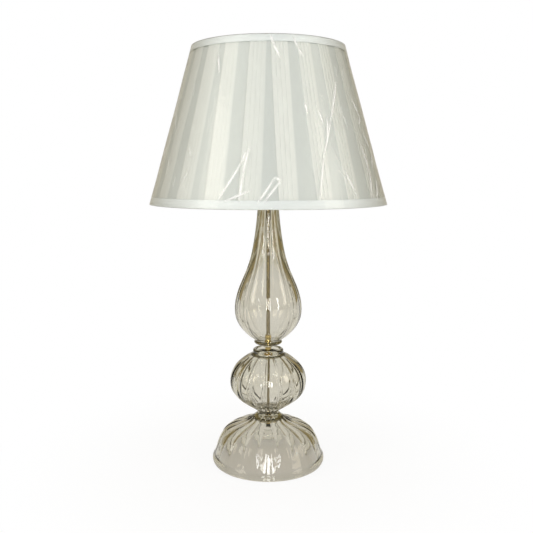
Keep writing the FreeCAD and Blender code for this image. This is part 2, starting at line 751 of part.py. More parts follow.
def make_bulb_tip_contact():
    return turned([
        (0, bulb_tip_z),
        ((BULB_TIP_R * BULB_TIP_EDGE, bulb_tip_z + BULB_TIP_H * BULB_TIP_SAG),
         (BULB_TIP_R, bulb_tip_z + BULB_TIP_H)),
        (0, bulb_tip_z + BULB_TIP_H),
    ])


def make_bulb_screw_base():
    """Screwed cap with rounded thread rings over its insulating cone."""
    crest_r = SCREW_SHELL_R - BULB_THREAD_GAP
    cone_z = bulb_tip_z + BULB_TIP_H
    thread_z = cone_z + BULB_INSULATOR_H
    top_z = thread_z + BULB_THREAD_L
    steps = [(0, cone_z), (BULB_TIP_R, cone_z), (BULB_INSULATOR_R, cone_z), (crest_r, thread_z)]
    for i in range(BULB_THREADS):
        groove_z = thread_z + BULB_THREAD_PITCH * (i + 0.5)
        steps.append((crest_r, groove_z))
        steps.append(((crest_r - BULB_THREAD_DEPTH, groove_z + BULB_THREAD_PITCH / 4),
                      (crest_r, groove_z + BULB_THREAD_PITCH / 2)))
    steps += [(crest_r, top_z), (0, top_z)]
    return turned(steps)


def make_bulb_glass():
    """Pear-shaped envelope: sphere above, cone down to the cap."""
    neck_z = bulb_tip_z + BULB_TIP_H + BULB_INSULATOR_H + BULB_THREAD_L
    centre_z = bulb_tip_z + BULB_GLOBE_Z

    def pear(globe_r, neck_r, low_z):
        join = math.radians(BULB_JOIN_DEG)
        full = math.radians(BULB_SIDE_DEG)
        joint = (globe_r * math.cos(join), centre_z + globe_r * math.sin(join))
        side = (globe_r * math.cos(full), centre_z + globe_r * math.sin(full))
        return turned([
            (0, low_z),
            (neck_r, low_z),
            joint,
            (side, (0, centre_z + globe_r)),
        ])

    outer = pear(BULB_GLOBE_R, BULB_NECK_R, neck_z)
    inner = pear(BULB_GLOBE_R - BULB_WALL, BULB_NECK_R - 2 * BULB_WALL, neck_z + BULB_WALL)
    return outer.cut(inner)


# ---- Shade -------------------------------------------------------------------

trim_in = FILM_T + FILM_GAP
fabric_in = trim_in + TRIM_T + LAYER_GAP
liner_in = fabric_in + PLEAT_RISE + FABRIC_T + LAYER_GAP
ring_in = liner_in + LINER_CARD_T + LAYER_GAP + RING_WIRE_R
trim_back_in = ring_in + RING_WIRE_R + LAYER_GAP
rim_low_z = shade_bottom_z + trim_in
rim_high_z = shade_top_z - trim_in
cloth_low_z = rim_low_z + TRIM_T + LAYER_GAP
cloth_high_z = rim_high_z - TRIM_T - LAYER_GAP


def shade_r(z):
    """Outer radius of the wrapped shade at a height."""
    share = (z - shade_bottom_z) / SHADE_H
    return SHADE_BOTTOM_R + (SHADE_TOP_R - SHADE_BOTTOM_R) * share


def cone_band(low_z, high_z, outer_in, thickness):
    """Conical band; outer_in is how far it lies inside the shade's outer surface."""
    outer_low = shade_r(low_z) - outer_in
    outer_high = shade_r(high_z) - outer_in
    return turned([
        (outer_low - thickness, low_z),
        (outer_low, low_z),
        (outer_high, high_z),
        (outer_high - thickness, high_z),
    ])


def make_shade_film():
    """Clear film round the shade, folded in over both edges."""
    low_r = SHADE_BOTTOM_R
    high_r = SHADE_TOP_R
    return turned([
        (low_r - FILM_BOTTOM_FOLD, shade_bottom_z),
        (low_r, shade_bottom_z),
        (high_r, shade_top_z),
        (high_r - FILM_TOP_FOLD, shade_top_z),
        (high_r - FILM_TOP_FOLD, shade_top_z - FILM_T),
        (high_r - FILM_T, shade_top_z - FILM_T),
        (low_r - FILM_T, shade_bottom_z + FILM_T),
        (low_r - FILM_BOTTOM_FOLD, shade_bottom_z + FILM_T),
    ])


def make_trim(edge_z, height, up):
    """Tape folded over one edge of the shade: outer leg, web and inner leg."""
    low_z, high_z = sorted((edge_z, edge_z + up * height))
    web_low, web_high = sorted((edge_z, edge_z + up * TRIM_T))
    back_h = 2 * RING_WIRE_R + TRIM_T + 2 * LAYER_GAP
    back_low, back_high = sorted((edge_z, edge_z + up * back_h))
    outer = cone_band(low_z, high_z, trim_in, TRIM_T)
    web = cone_band(web_low, web_high, trim_in, trim_back_in + TRIM_T - trim_in)
    back = cone_band(back_low, back_high, trim_back_in, TRIM_T)
    return outer.fuse(web).fuse(back)


def pleat_wire(z, band_share):
    """Cross-section of the cloth: bands of stepped knife pleats between flat gaps."""
    crest_r = shade_r(z) - fabric_in
    flat_r = crest_r - PLEAT_RISE
    pitch = 2 * math.pi / PLEAT_BANDS
    pleat = pitch * band_share / PLEATS_PER_BAND
    corners = []
    for band in range(PLEAT_BANDS):
        start = pitch * (band - band_share / 2)
        for i in range(PLEATS_PER_BAND):
            angle = start + pleat * i
            corners.append((flat_r, angle))
            corners.append((crest_r, angle + pleat * PLEAT_LEAD))
            corners.append((crest_r - PLEAT_RISE / 4, angle + pleat * PLEAT_TAIL))
    points = [vec(r * math.cos(a), r * math.sin(a), z) for r, a in corners]
    return Part.makePolygon(points + [points[0]])


def core_wire(z):
    """Many-sided section of the space behind the cloth."""
    radius = shade_r(z) - fabric_in - PLEAT_RISE - FABRIC_T
    turns = [2 * math.pi * i / CLOTH_BACK_SIDES for i in range(CLOTH_BACK_SIDES)]
    points = [vec(radius * math.cos(a), radius * math.sin(a), z) for a in turns]
    return Part.makePolygon(points + [points[0]])


def make_shade_fabric():
    """Pleated cloth: the bands fan out downwards and close up towards the top."""
    low = pleat_wire(cloth_low_z, BAND_SHARE_BOTTOM)
    high = pleat_wire(cloth_high_z, BAND_SHARE_TOP)
    cloth = Part.makeLoft([low, high], True, True)
    core = Part.makeLoft([core_wire(cloth_low_z - CUT_OVER), core_wire(cloth_high_z + CUT_OVER)], True, True)
    return cloth.cut(core)


def make_shade_ring(z):
    return torus(shade_r(z) - ring_in, RING_WIRE_R, z)


top_ring_z = cloth_high_z - RING_WIRE_R
bottom_ring_z = cloth_low_z + RING_WIRE_R


def make_top_trim():
    """Top tape, snipped where the fitter's arms come through it to the ring."""
    trim = make_trim(rim_high_z, TOP_TRIM_H, -1)
    half = SPIDER_WIRE_R + ARM_SNIP_GAP
    out_r = shade_r(top_ring_z) - ring_in
    length = RING_WIRE_R + 2 * LAYER_GAP + 2 * TRIM_T
    low_z = rim_high_z - TOP_TRIM_H
    snip = Part.makeBox(length, 2 * half, cloth_high_z - low_z, vec(out_r - length, -half, low_z))
    for i in range(SPIDER_ARMS):
        trim = trim.cut(turn(snip, SPIDER_FIRST_DEG + 360 * i / SPIDER_ARMS))
    return trim


def make_shade_spider():
    """Washer on the harp's stud with bent arms out to the top ring."""
    mid_z = fitter_z + SPIDER_WASHER_T / 2
    end_r = shade_r(top_ring_z) - ring_in - RING_WIRE_R - LAYER_GAP
    rise = math.atan2(top_ring_z - mid_z, end_r - SPIDER_BEND_AT)
    back = SPIDER_BEND_R * math.tan(rise / 2)
    rise_deg = math.degrees(rise)
    bend_centre = (SPIDER_BEND_AT - back, mid_z + SPIDER_BEND_R)
    bend_end = vec(SPIDER_BEND_AT + back * math.cos(rise), 0, mid_z + back * math.sin(rise))
    path = [
        line(vec(SPIDER_ARM_START, 0, mid_z), vec(SPIDER_BEND_AT - back, 0, mid_z)),
        arc(bend_centre, SPIDER_BEND_R, -90, -90 + rise_deg),
        line(bend_end, vec(end_r, 0, top_ring_z)),
    ]
    arm = sweep_rod(path, SPIDER_WIRE_R)
    hole_r = STUD_THREAD_R + SPIDER_HOLE_GAP
    spider = ring(SPIDER_WASHER_R, hole_r, fitter_z, SPIDER_WASHER_T)
    for i in range(SPIDER_ARMS):
        spider = spider.fuse(turn(arm, SPIDER_FIRST_DEG + 360 * i / SPIDER_ARMS))
    return spider


def make_finial():
    """Turned knob that screws down on the stud and holds the shade."""
    foot_z = fitter_z + SPIDER_WASHER_T
    neck_z = foot_z + FINIAL_FOOT_H
    top_z = foot_z + FINIAL_H
    ball_centre = top_z - FINIAL_BALL_R
    waist_z = ball_centre - math.sqrt(FINIAL_BALL_R ** 2 - FINIAL_NECK_R ** 2)
    knob = turned([
        (0, foot_z),
        (FINIAL_FOOT_R, foot_z),
        (FINIAL_FOOT_R, neck_z),
        (FINIAL_NECK_R, neck_z),
        (FINIAL_NECK_R, waist_z),
        ((FINIAL_BALL_R, ball_centre), (0, top_z)),
    ])
    return knob.cut(disc(STUD_THREAD_R + FINIAL_BORE_GAP, foot_z, FINIAL_BORE_L))


NODES = {
    "base_glass": make_base_glass,
    "ball_glass": make_ball_glass,
    "teardrop_glass": make_teardrop_glass,
    "stem_tube": make_stem_tube,
    "glass_gaskets": make_glass_gaskets,
    "stem_washer": make_stem_washer,
    "stem_nut": make_stem_nut,
    "cord_bush": make_cord_bush,
    "lower_spacer": make_lower_spacer,
    "upper_spacer": make_upper_spacer,
    "neck_cap": make_neck_cap,
    "neck_collar": make_neck_collar,
    "harp_saddle": make_harp_saddle,
    "harp_loop": make_harp_loop,
    "harp_sleeve_left": lambda: make_harp_sleeve(-1),
    "harp_sleeve_right": lambda: make_harp_sleeve(1),
    "harp_top_stud": make_harp_top_stud,
    "socket_cap": make_socket_cap,
    "socket_set_screw": make_socket_set_screw,
    "socket_shell": make_socket_shell,
    "socket_liner": make_socket_liner,
    "socket_interior": make_socket_interior,
    "terminal_screws": make_terminal_screws,
    "screw_shell": make_screw_shell,
    "centre_contact": make_centre_contact,
    "switch_shaft": make_switch_shaft,
    "switch_knob": make_switch_knob,
    "bulb_tip_contact": make_bulb_tip_contact,
    "bulb_screw_base": make_bulb_screw_base,
    "bulb_glass": make_bulb_glass,
    "shade_top_ring": lambda: make_shade_ring(top_ring_z),
    "shade_bottom_ring": lambda: make_shade_ring(bottom_ring_z),
    "shade_spider": make_shade_spider,
    "shade_liner": lambda: cone_band(cloth_low_z, cloth_high_z, liner_in, LINER_CARD_T),
    "shade_fabric": make_shade_fabric,
    "shade_top_trim": make_top_trim,
    "shade_bottom_trim": lambda: make_trim(rim_low_z, BOTTOM_TRIM_H, 1),
    "shade_film": make_shade_film,
    "finial": make_finial,
}

for name, make in NODES.items():
    shape = make()
    shape.exportStep("parts/" + name + ".step")
    box = shape.BoundBox
    print(f"{name:20s} solids {len(shape.Solids)} valid {shape.isValid()} volume {shape.Volume:10.1f} "
          f"z {box.ZMin:7.2f} to {box.ZMax:7.2f} r {max(box.XMax, box.YMax):6.2f}")
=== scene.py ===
"""Dressed model of a ribbed blown-glass table lamp with a pleated shade in clear film."""

import json
import logging
import math
import random
from dataclasses import dataclass, field
from enum import Enum
from typing import Optional

import bmesh
import bpy
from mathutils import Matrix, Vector, noise

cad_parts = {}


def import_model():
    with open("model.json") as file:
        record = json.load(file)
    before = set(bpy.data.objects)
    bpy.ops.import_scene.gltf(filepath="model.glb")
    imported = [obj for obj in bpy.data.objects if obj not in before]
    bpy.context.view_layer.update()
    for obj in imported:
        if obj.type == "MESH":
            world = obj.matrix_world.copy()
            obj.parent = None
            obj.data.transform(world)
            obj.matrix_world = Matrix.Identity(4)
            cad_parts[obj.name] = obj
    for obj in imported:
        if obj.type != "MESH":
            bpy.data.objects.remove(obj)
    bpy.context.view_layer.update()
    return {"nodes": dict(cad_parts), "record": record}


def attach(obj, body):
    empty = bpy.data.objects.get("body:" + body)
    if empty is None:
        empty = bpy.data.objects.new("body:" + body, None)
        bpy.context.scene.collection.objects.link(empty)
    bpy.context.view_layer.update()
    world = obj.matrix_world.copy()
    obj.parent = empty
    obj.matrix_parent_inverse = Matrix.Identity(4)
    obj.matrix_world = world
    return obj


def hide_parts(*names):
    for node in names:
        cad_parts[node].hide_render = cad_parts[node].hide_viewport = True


LOG = logging.getLogger("lamp")
MM = 0.001
SEED = 11

Station = tuple[float, float, float]
Point = tuple[float, float]
Column = tuple[float, float, float, float]
Fold = tuple[float, float, float, float, float]


class Body(Enum):
    """Rigid bodies that the pieces ride on."""

    LAMP = "lamp"
    SHADE = "shade"


class Slot(Enum):
    """Material slots of the record."""

    GLASS = "champagne_glass"
    FABRIC = "pleated_fabric"
    TAPE = "trim_tape"
    FILM = "clear_film"


def srgb(code: str) -> tuple[float, float, float, float]:
    """Turn an sRGB hex colour into linear red, green, blue and alpha.

    Args:
        code: Six hex digits, with or without a leading hash.

    Returns:
        Linear colour with alpha 1.
    """
    digits = code.lstrip("#")
    values = [int(digits[i:i + 2], 16) / 255 for i in (0, 2, 4)]
    linear = [v / 12.92 if v <= 0.04045 else ((v + 0.055) / 1.055) ** 2.4 for v in values]
    return (linear[0], linear[1], linear[2], 1.0)


def add_node(tree: bpy.types.NodeTree, kind: str, settings: Optional[dict] = None,
             inputs: Optional[dict] = None, links: Optional[dict] = None) -> bpy.types.Node:
    """Add a shader node with its settings, values and incoming links.

    Args:
        tree: Node tree that gets the node.
        kind: Node type, such as ShaderNodeTexNoise.
        settings: Properties of the node.
        inputs: Socket values by name or index.
        links: Output sockets that feed inputs, by input name or index.

    Returns:
        The new node.
    """
    node = tree.nodes.new(kind)
    for name, value in (settings or {}).items():
        setattr(node, name, value)
    for name, value in (inputs or {}).items():
        node.inputs[name].default_value = value
    for name, socket in (links or {}).items():
        tree.links.new(socket, node.inputs[name])
    return node


def new_material(name: str) -> tuple[bpy.types.Material, bpy.types.NodeTree, bpy.types.Node]:
    """Create a material with an empty node tree.

    Args:
        name: Name of the finish.

    Returns:
        The material, its tree and its output node.
    """
    material = bpy.data.materials.new(name)
    material.use_nodes = True
    tree = material.node_tree
    tree.nodes.clear()
    return material, tree, add_node(tree, "ShaderNodeOutputMaterial")


def object_coords(tree: bpy.types.NodeTree, scale: tuple[float, float, float]) -> bpy.types.NodeSocket:
    """Give object coordinates in pattern repeats.

    Args:
        tree: Node tree of the material.
        scale: Repeats per metre along X, Y and Z.

    Returns:
        Vector output of the mapping.
    """
    coords = add_node(tree, "ShaderNodeTexCoord")
    mapping = add_node(tree, "ShaderNodeMapping", inputs={"Scale": scale},
                       links={"Vector": coords.outputs["Object"]})
    return mapping.outputs["Vector"]


@dataclass(frozen=True)
class BlownGlass:
    """Hand-blown soda glass, pale champagne smoke in the mass, fire-polished."""

    name: str = "blown_champagne_glass"
    tint: str = "#B5AE76"
    density: float = 42.0
    ior: float = 1.5
    ripple_mm: float = 26.0
    ripple_depth: float = 0.00035

    def build(self) -> bpy.types.Material:
        """Return glass tinted through its depth, with the slow ripple of blown walls."""
        material, tree, out = new_material(self.name)
        coords = object_coords(tree, (1 / (self.ripple_mm * MM),) * 3)
        ripple = add_node(tree, "ShaderNodeTexNoise", inputs={"Scale": 1.0, "Detail": 2.0, "Roughness": 0.4},
                          links={"Vector": coords})
        bump = add_node(tree, "ShaderNodeBump", inputs={"Strength": 1.0, "Distance": self.ripple_depth},
                        links={"Height": ripple.outputs["Fac"]})
        shader = add_node(tree, "ShaderNodeBsdfPrincipled",
                          inputs={"Base Color": (1, 1, 1, 1), "Roughness": 0.015, "IOR": self.ior,
                                  "Transmission Weight": 1.0},
                          links={"Normal": bump.outputs["Normal"]})
        depth = add_node(tree, "ShaderNodeVolumeAbsorption",
                         inputs={"Color": srgb(self.tint), "Density": self.density})
        tree.links.new(shader.outputs["BSDF"], out.inputs["Surface"])
        tree.links.new(depth.outputs["Volume"], out.inputs["Volume"])
        return material


@dataclass(frozen=True)
class Metal:
    """Turned or drawn metal with a fine lathe grain and slight tarnish."""

    name: str
    colour: str
    dull_colour: str
    roughness: float
    grain_mm: float = 0.6

    def build(self) -> bpy.types.Material:
        """Return a metal whose roughness and tone drift as handled metal does."""
        material, tree, out = new_material(self.name)
        coords = object_coords(tree, (40.0, 40.0, 1 / (self.grain_mm * MM)))
        grain = add_node(tree, "ShaderNodeTexNoise", inputs={"Scale": 1.0, "Detail": 2.0},
                         links={"Vector": coords})
        patch = add_node(tree, "ShaderNodeTexNoise", inputs={"Scale": 60.0, "Detail": 3.0},
                         links={"Vector": object_coords(tree, (1.0, 1.0, 1.0))})
        tone = add_node(tree, "ShaderNodeMix", {"data_type": "RGBA"},
                        {6: srgb(self.colour), 7: srgb(self.dull_colour)},
                        {0: patch.outputs["Fac"]})
        rough = add_node(tree, "ShaderNodeMapRange",
                         inputs={"To Min": self.roughness * 0.75, "To Max": self.roughness * 1.3},
                         links={"Value": grain.outputs["Fac"]})
        bump = add_node(tree, "ShaderNodeBump", inputs={"Strength": 0.25, "Distance": 0.00004},
                        links={"Height": grain.outputs["Fac"]})
        shader = add_node(tree, "ShaderNodeBsdfPrincipled", inputs={"Metallic": 1.0},
                          links={"Base Color": tone.outputs[2], "Roughness": rough.outputs["Result"],
                                 "Normal": bump.outputs["Normal"]})
        tree.links.new(shader.outputs["BSDF"], out.inputs["Surface"])
        return material


@dataclass(frozen=True)
class Moulded:
    """Moulded, painted or pressed dielectric with a fine surface grain."""

    name: str
    colour: str
    roughness: float
    grain_mm: float = 0.8
    relief: float = 0.00005
    glow_through: float = 0.0

    def build(self) -> bpy.types.Material:
        """Return a plain surface with grain, and light through it where it is thin and pale."""
        material, tree, out = new_material(self.name)
        coords = object_coords(tree, (1 / (self.grain_mm * MM),) * 3)
        grain = add_node(tree, "ShaderNodeTexNoise", inputs={"Scale": 1.0, "Detail": 3.0},
                         links={"Vector": coords})
        rough = add_node(tree, "ShaderNodeMapRange",
                         inputs={"To Min": self.roughness * 0.85, "To Max": min(1.0, self.roughness * 1.15)},
                         links={"Value": grain.outputs["Fac"]})
        bump = add_node(tree, "ShaderNodeBump", inputs={"Strength": 0.4, "Distance": self.relief},
                        links={"Height": grain.outputs["Fac"]})
        shader = add_node(tree, "ShaderNodeBsdfPrincipled", inputs={"Base Color": srgb(self.colour)},
                          links={"Roughness": rough.outputs["Result"], "Normal": bump.outputs["Normal"]})
        surface = shader.outputs["BSDF"]
        if self.glow_through > 0:
            glow = add_node(tree, "ShaderNodeBsdfTranslucent", inputs={"Color": srgb(self.colour)})
            blend = add_node(tree, "ShaderNodeMixShader", inputs={"Fac": self.glow_through},
                             links={1: surface, 2: glow.outputs["BSDF"]})
            surface = blend.outputs["Shader"]
        tree.links.new(surface, out.inputs["Surface"])
        return material


@dataclass(frozen=True)
class PleatedCotton:
    """Fine plain-woven cotton voile, pleated: layered bands look paler than single cloth, and a painted
    shade line darkens each pleat's fold.
    """

    name: str = "pleated_cotton_voile"
    layered: str = "#EEF0EB"
    single: str = "#DADEDA"
    thread_mm: float = 0.7
    glow_through: float = 0.22

    def build(self) -> bpy.types.Material:
        """Return cloth whose tone follows its layers and the painted shade along its pleat folds, with
        threads drawn as coarse as they show.
        """
        material, tree, out = new_material(self.name)
        layers = add_node(tree, "ShaderNodeAttribute", {"attribute_name": "layers"})
        fleck = add_node(tree, "ShaderNodeTexNoise", inputs={"Scale": 1.0, "Detail": 4.0, "Roughness": 0.6},
                         links={"Vector": object_coords(tree, (160.0, 160.0, 30.0))})
        tone = add_node(tree, "ShaderNodeMix", {"data_type": "RGBA"},
                        {6: srgb(self.single), 7: srgb(self.layered)}, {0: layers.outputs["Fac"]})
        shaded = add_node(tree, "ShaderNodeMapRange", inputs={"To Min": 0.95, "To Max": 1.03},
                          links={"Value": fleck.outputs["Fac"]})
        colour = add_node(tree, "ShaderNodeVectorMath", {"operation": "SCALE"},
                          links={0: tone.outputs[2], "Scale": shaded.outputs["Result"]})
        uv = add_node(tree, "ShaderNodeUVMap", {"uv_map": "cloth"})
        weave = add_node(tree, "ShaderNodeTexWave", {"bands_direction": "X"},
                         {"Scale": 1 / (self.thread_mm * MM) / 6.283, "Distortion": 1.5, "Detail": 1.0},
                         {"Vector": uv.outputs["UV"]})
        bump = add_node(tree, "ShaderNodeBump", inputs={"Strength": 0.25, "Distance": 0.0001},
                        links={"Height": weave.outputs["Fac"]})
        shader = add_node(tree, "ShaderNodeBsdfPrincipled",
                          inputs={"Roughness": 0.85, "Sheen Weight": 0.12, "Specular IOR Level": 0.3},
                          links={"Base Color": colour.outputs["Vector"], "Normal": bump.outputs["Normal"]})
        glow = add_node(tree, "ShaderNodeBsdfTranslucent", links={"Color": colour.outputs["Vector"]})
        blend = add_node(tree, "ShaderNodeMixShader", inputs={"Fac": self.glow_through},
                         links={1: shader.outputs["BSDF"], 2: glow.outputs["BSDF"]})
        tree.links.new(blend.outputs["Shader"], out.inputs["Surface"])
        return material


@dataclass(frozen=True)
class ClearFilm:
    """Thin polypropylene wrap: nearly invisible, but for the light its creases catch."""

    name: str = "clear_polypropylene_film"
    ior: float = 1.3
    crease_mm: float = 16.0
    # Share of pale white laid along the folds as a painted highlight.
    fold_highlight_share: float = 0.85

    def build(self) -> bpy.types.Material:
        """Return a film that lets light pass, glints where it bends and carries a painted highlight, a pale
        white, along its folds.
        """
        material, tree, out = new_material(self.name)
        creases = add_node(tree, "ShaderNodeTexNoise",
                           inputs={"Scale": 1.0, "Detail": 2.0, "Roughness": 0.5, "Distortion": 0.4},
                           links={"Vector": object_coords(tree, (1 / (self.crease_mm * MM),) * 3)})
        bump = add_node(tree, "ShaderNodeBump", inputs={"Strength": 0.5, "Distance": 0.0008},
                        links={"Height": creases.outputs["Fac"]})
        gloss = add_node(tree, "ShaderNodeBsdfPrincipled",
                         inputs={"Base Color": (1, 1, 1, 1), "Metallic": 1.0, "Roughness": 0.12},
                         links={"Normal": bump.outputs["Normal"]})
        clear = add_node(tree, "ShaderNodeBsdfTransparent")
        angle = add_node(tree, "ShaderNodeFresnel", inputs={"IOR": self.ior},
                         links={"Normal": bump.outputs["Normal"]})
        # Painted highlight: a pale white surface is mixed in along the folds, by the fold share.
        fold = add_node(tree, "ShaderNodeAttribute", {"attribute_name": "fold"})
        white = add_node(tree, "ShaderNodeMath", {"operation": "MULTIPLY"},
                         {1: self.fold_highlight_share}, {0: fold.outputs["Fac"]})
        painted_fold_highlight = add_node(tree, "ShaderNodeBsdfPrincipled",
                         inputs={"Base Color": srgb("#FFFFFF"), "Roughness": 0.25,
                                 "Specular IOR Level": 0.8})
        glint = add_node(tree, "ShaderNodeMixShader",
                         links={0: angle.outputs["Fac"], 1: clear.outputs["BSDF"], 2: gloss.outputs["BSDF"]})
        blend = add_node(tree, "ShaderNodeMixShader",
                         links={0: white.outputs[0], 1: glint.outputs["Shader"], 2: painted_fold_highlight.outputs["BSDF"]})
        tree.links.new(blend.outputs["Shader"], out.inputs["Surface"])
        return material


def smooth_line(points: list[Point], steps: int) -> list[Point]:
    """Run a smooth curve through points in the turning plane.

    Args:
        points: Points (radius, height) in order.
        steps: Pieces that each gap is divided into.

    Returns:
        Points along the curve, both ends included.
    """
    line: list[Point] = []
    last = len(points) - 1
    for i in range(last):
        before = points[max(i - 1, 0)]
        a, b = points[i], points[i + 1]
        after = points[min(i + 2, last)]
        gap = math.dist(a, b)
        tangent_a = [(b[k] - before[k]) * gap / max(math.dist(b, before), 1e-9) for k in (0, 1)]
        tangent_b = [(after[k] - a[k]) * gap / max(math.dist(after, a), 1e-9) for k in (0, 1)]
        for step in range(steps):
            t = step / steps
            h = (2 * t ** 3 - 3 * t ** 2 + 1, t ** 3 - 2 * t ** 2 + t,
                 3 * t ** 2 - 2 * t ** 3, t ** 3 - t ** 2)
            line.append(tuple(h[0] * a[k] + h[1] * tangent_a[k] + h[2] * b[k] + h[3] * tangent_b[k]
                              for k in (0, 1)))
    line.append(points[-1])
    return line


def arc_line(centre: Point, radius: float, start_deg: float, end_deg: float, steps: int) -> list[Point]:
    """Give points along an arc in the turning plane.

    Args:
        centre: Centre (radius, height).
        radius: Radius of the arc.
        start_deg: First angle, from outwards towards up.
        end_deg: Last angle.
        steps: Number of chords.

    Returns:
        Points along the arc, both ends included.
    """
    turn = [math.radians(start_deg + (end_deg - start_deg) * i / steps) for i in range(steps + 1)]
    return [(centre[0] + radius * math.cos(a), centre[1] + radius * math.sin(a)) for a in turn]


def noise_round(angle: float, turns: float, height: float) -> float:
    """Return smooth noise from -1 to 1 that closes up round the lamp's axis."""
    return noise.noise(Vector((math.cos(angle) * turns, math.sin(angle) * turns, height)))


def turn_profile(profile: list[Point], steps: int, closed: bool = True) -> bmesh.types.BMesh:
    """Wrap a grid round the lamp's axis, each row at one point of a profile.

    Args:
        profile: Points (radius, height) in millimetres.
        steps: Divisions round the axis.
        closed: Whether the profile's ends join.

    Returns:
        The turned mesh, in metres, with its normals outwards.
    """
    rows = profile + profile[:1] if closed else profile
    mesh = bmesh.new()
    bmesh.ops.create_grid(mesh, x_segments=steps, y_segments=len(rows) - 1, size=1.0)
    for i, vert in enumerate(mesh.verts):
        row, column = divmod(i, steps + 1)
        r, z = rows[row]
        turn = 2 * math.pi * column / steps
        vert.co = Vector((r * math.cos(turn), r * math.sin(turn), z)) * MM
    bmesh.ops.remove_doubles(mesh, verts=mesh.verts, dist=1e-6)
    bmesh.ops.recalc_face_normals(mesh, faces=mesh.faces)
    return mesh


def finish_piece(mesh: bmesh.types.BMesh, name: str, material: bpy.types.Material, body: Body,
                 replaces: tuple[str, ...]) -> bpy.types.Object:
    """Turn a built mesh into a smooth piece that rides on its body.

    Args:
        mesh: The built mesh, freed here.
        name: Name of the piece.
        material: Its finish.
        body: Body that it rides on.
        replaces: CAD nodes that it stands for.

    Returns:
        The new object.
    """
    data = bpy.data.meshes.new(name)
    mesh.to_mesh(data)
    mesh.free()
    data.materials.append(material)
    data.shade_smooth()
    piece = bpy.data.objects.new(name, data)
    bpy.context.scene.collection.objects.link(piece)
    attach(piece, body.value)
    if replaces:
        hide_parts(*replaces)
    LOG.info("%s: %d faces", name, len(data.polygons))
    return piece


